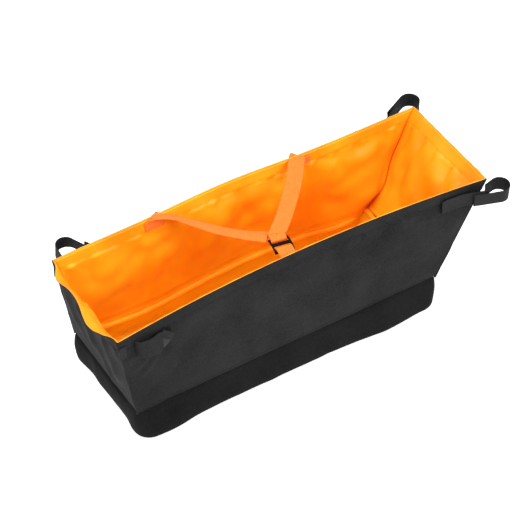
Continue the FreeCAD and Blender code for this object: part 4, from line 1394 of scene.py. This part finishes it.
EYE = Vector((-1.2385, -2.0145, 2.5360))
LOOK = Vector((0.37110, 0.59576, -0.71261))
LENS = 153.77


def make_camera():
    data = bpy.data.cameras.new("camera")
    data.lens = LENS
    data.sensor_width = 36.0
    camera = bpy.data.objects.new("camera", data)
    camera.location = EYE
    camera.rotation_mode = "QUATERNION"
    camera.rotation_quaternion = LOOK.to_track_quat("-Z", "Y")
    bpy.context.scene.collection.objects.link(camera)
    bpy.context.scene.camera = camera


def area_light(name, location, target, size, power, colour=(1, 1, 1)):
    data = bpy.data.lights.new(name, "AREA")
    data.shape = "RECTANGLE"
    data.size, data.size_y = size
    data.energy = power
    data.color = colour
    lamp = bpy.data.objects.new(name, data)
    lamp.location = location
    lamp.rotation_mode = "QUATERNION"
    lamp.rotation_quaternion = (Vector(target) - Vector(location)).to_track_quat("-Z", "Y")
    bpy.context.scene.collection.objects.link(lamp)


def make_light():
    world = bpy.data.worlds.new("studio")
    world.use_nodes = True
    background = world.node_tree.nodes["Background"]
    background.inputs["Color"].default_value = (1.0, 1.0, 1.0, 1.0)
    background.inputs["Strength"].default_value = 0.60
    bpy.context.scene.world = world
    area_light("key_softbox", (1.1, -2.2, 1.5), (0.0, 0.0, 0.1), (1.8, 1.4), 46)
    area_light("top_softbox", (-0.7, -0.2, 2.2), (0.1, 0.0, 0.1), (1.2, 1.2), 40)
    bpy.context.scene.view_settings.view_transform = "Standard"


def make_floor():
    reach = 6.0
    count = 24
    mesh = bpy.data.meshes.new("studio_floor")
    ticks = np.linspace(-reach, reach, count)
    points = [(x, y, 0.0) for y in ticks for x in ticks]
    mesh.from_pydata(points, [], grid_faces(count, count))
    floor = bpy.data.objects.new("studio_floor", mesh)
    shader = Shader("studio_paper")
    grain = shader.noise(shader.place("Object"), 3.0, 2.0)
    shader.colour(shader.mix(grain, (0.92, 0.92, 0.92, 1), (0.95, 0.95, 0.95, 1)))
    shader.rough(shader.ramp(grain, 0.3, 0.7, 0.85, 0.95))
    shader.set(Emission_Color=(1, 1, 1, 1), Emission_Strength=0.60)
    mesh.materials.append(shader.material)
    bpy.context.scene.collection.objects.link(floor)


def dress_cad_nodes():
    """The buckle and the board keep their CAD shape and get their own finish."""
    for node, slot in (("buckle", "buckle_plastic"), ("base_board", "base_board")):
        piece = frame["nodes"][node]
        for place in piece.material_slots:
            place.material = MATERIALS[slot]
        if not piece.material_slots:
            piece.data.materials.append(MATERIALS[slot])


make_camera()
make_light()
make_floor()
for wall_side in SIDES:
    make_shell(wall_side)
    make_liner(wall_side)
    make_rim_edge(wall_side)
for wall_side in ("front", "back"):
    make_stay(wall_side)
    for wall_end in ("left", "right"):
        make_welt(wall_side, wall_end)
make_base()
make_tray()
make_ridges()
for corner_name in LOOPS:
    make_loop(corner_name)
    make_tab(corner_name)
    make_foot(corner_name)
make_mouth_straps()
make_keeper()
make_front_strap()
make_anchors()
make_stitching()
make_strap_stitching()
dress_cad_nodes()
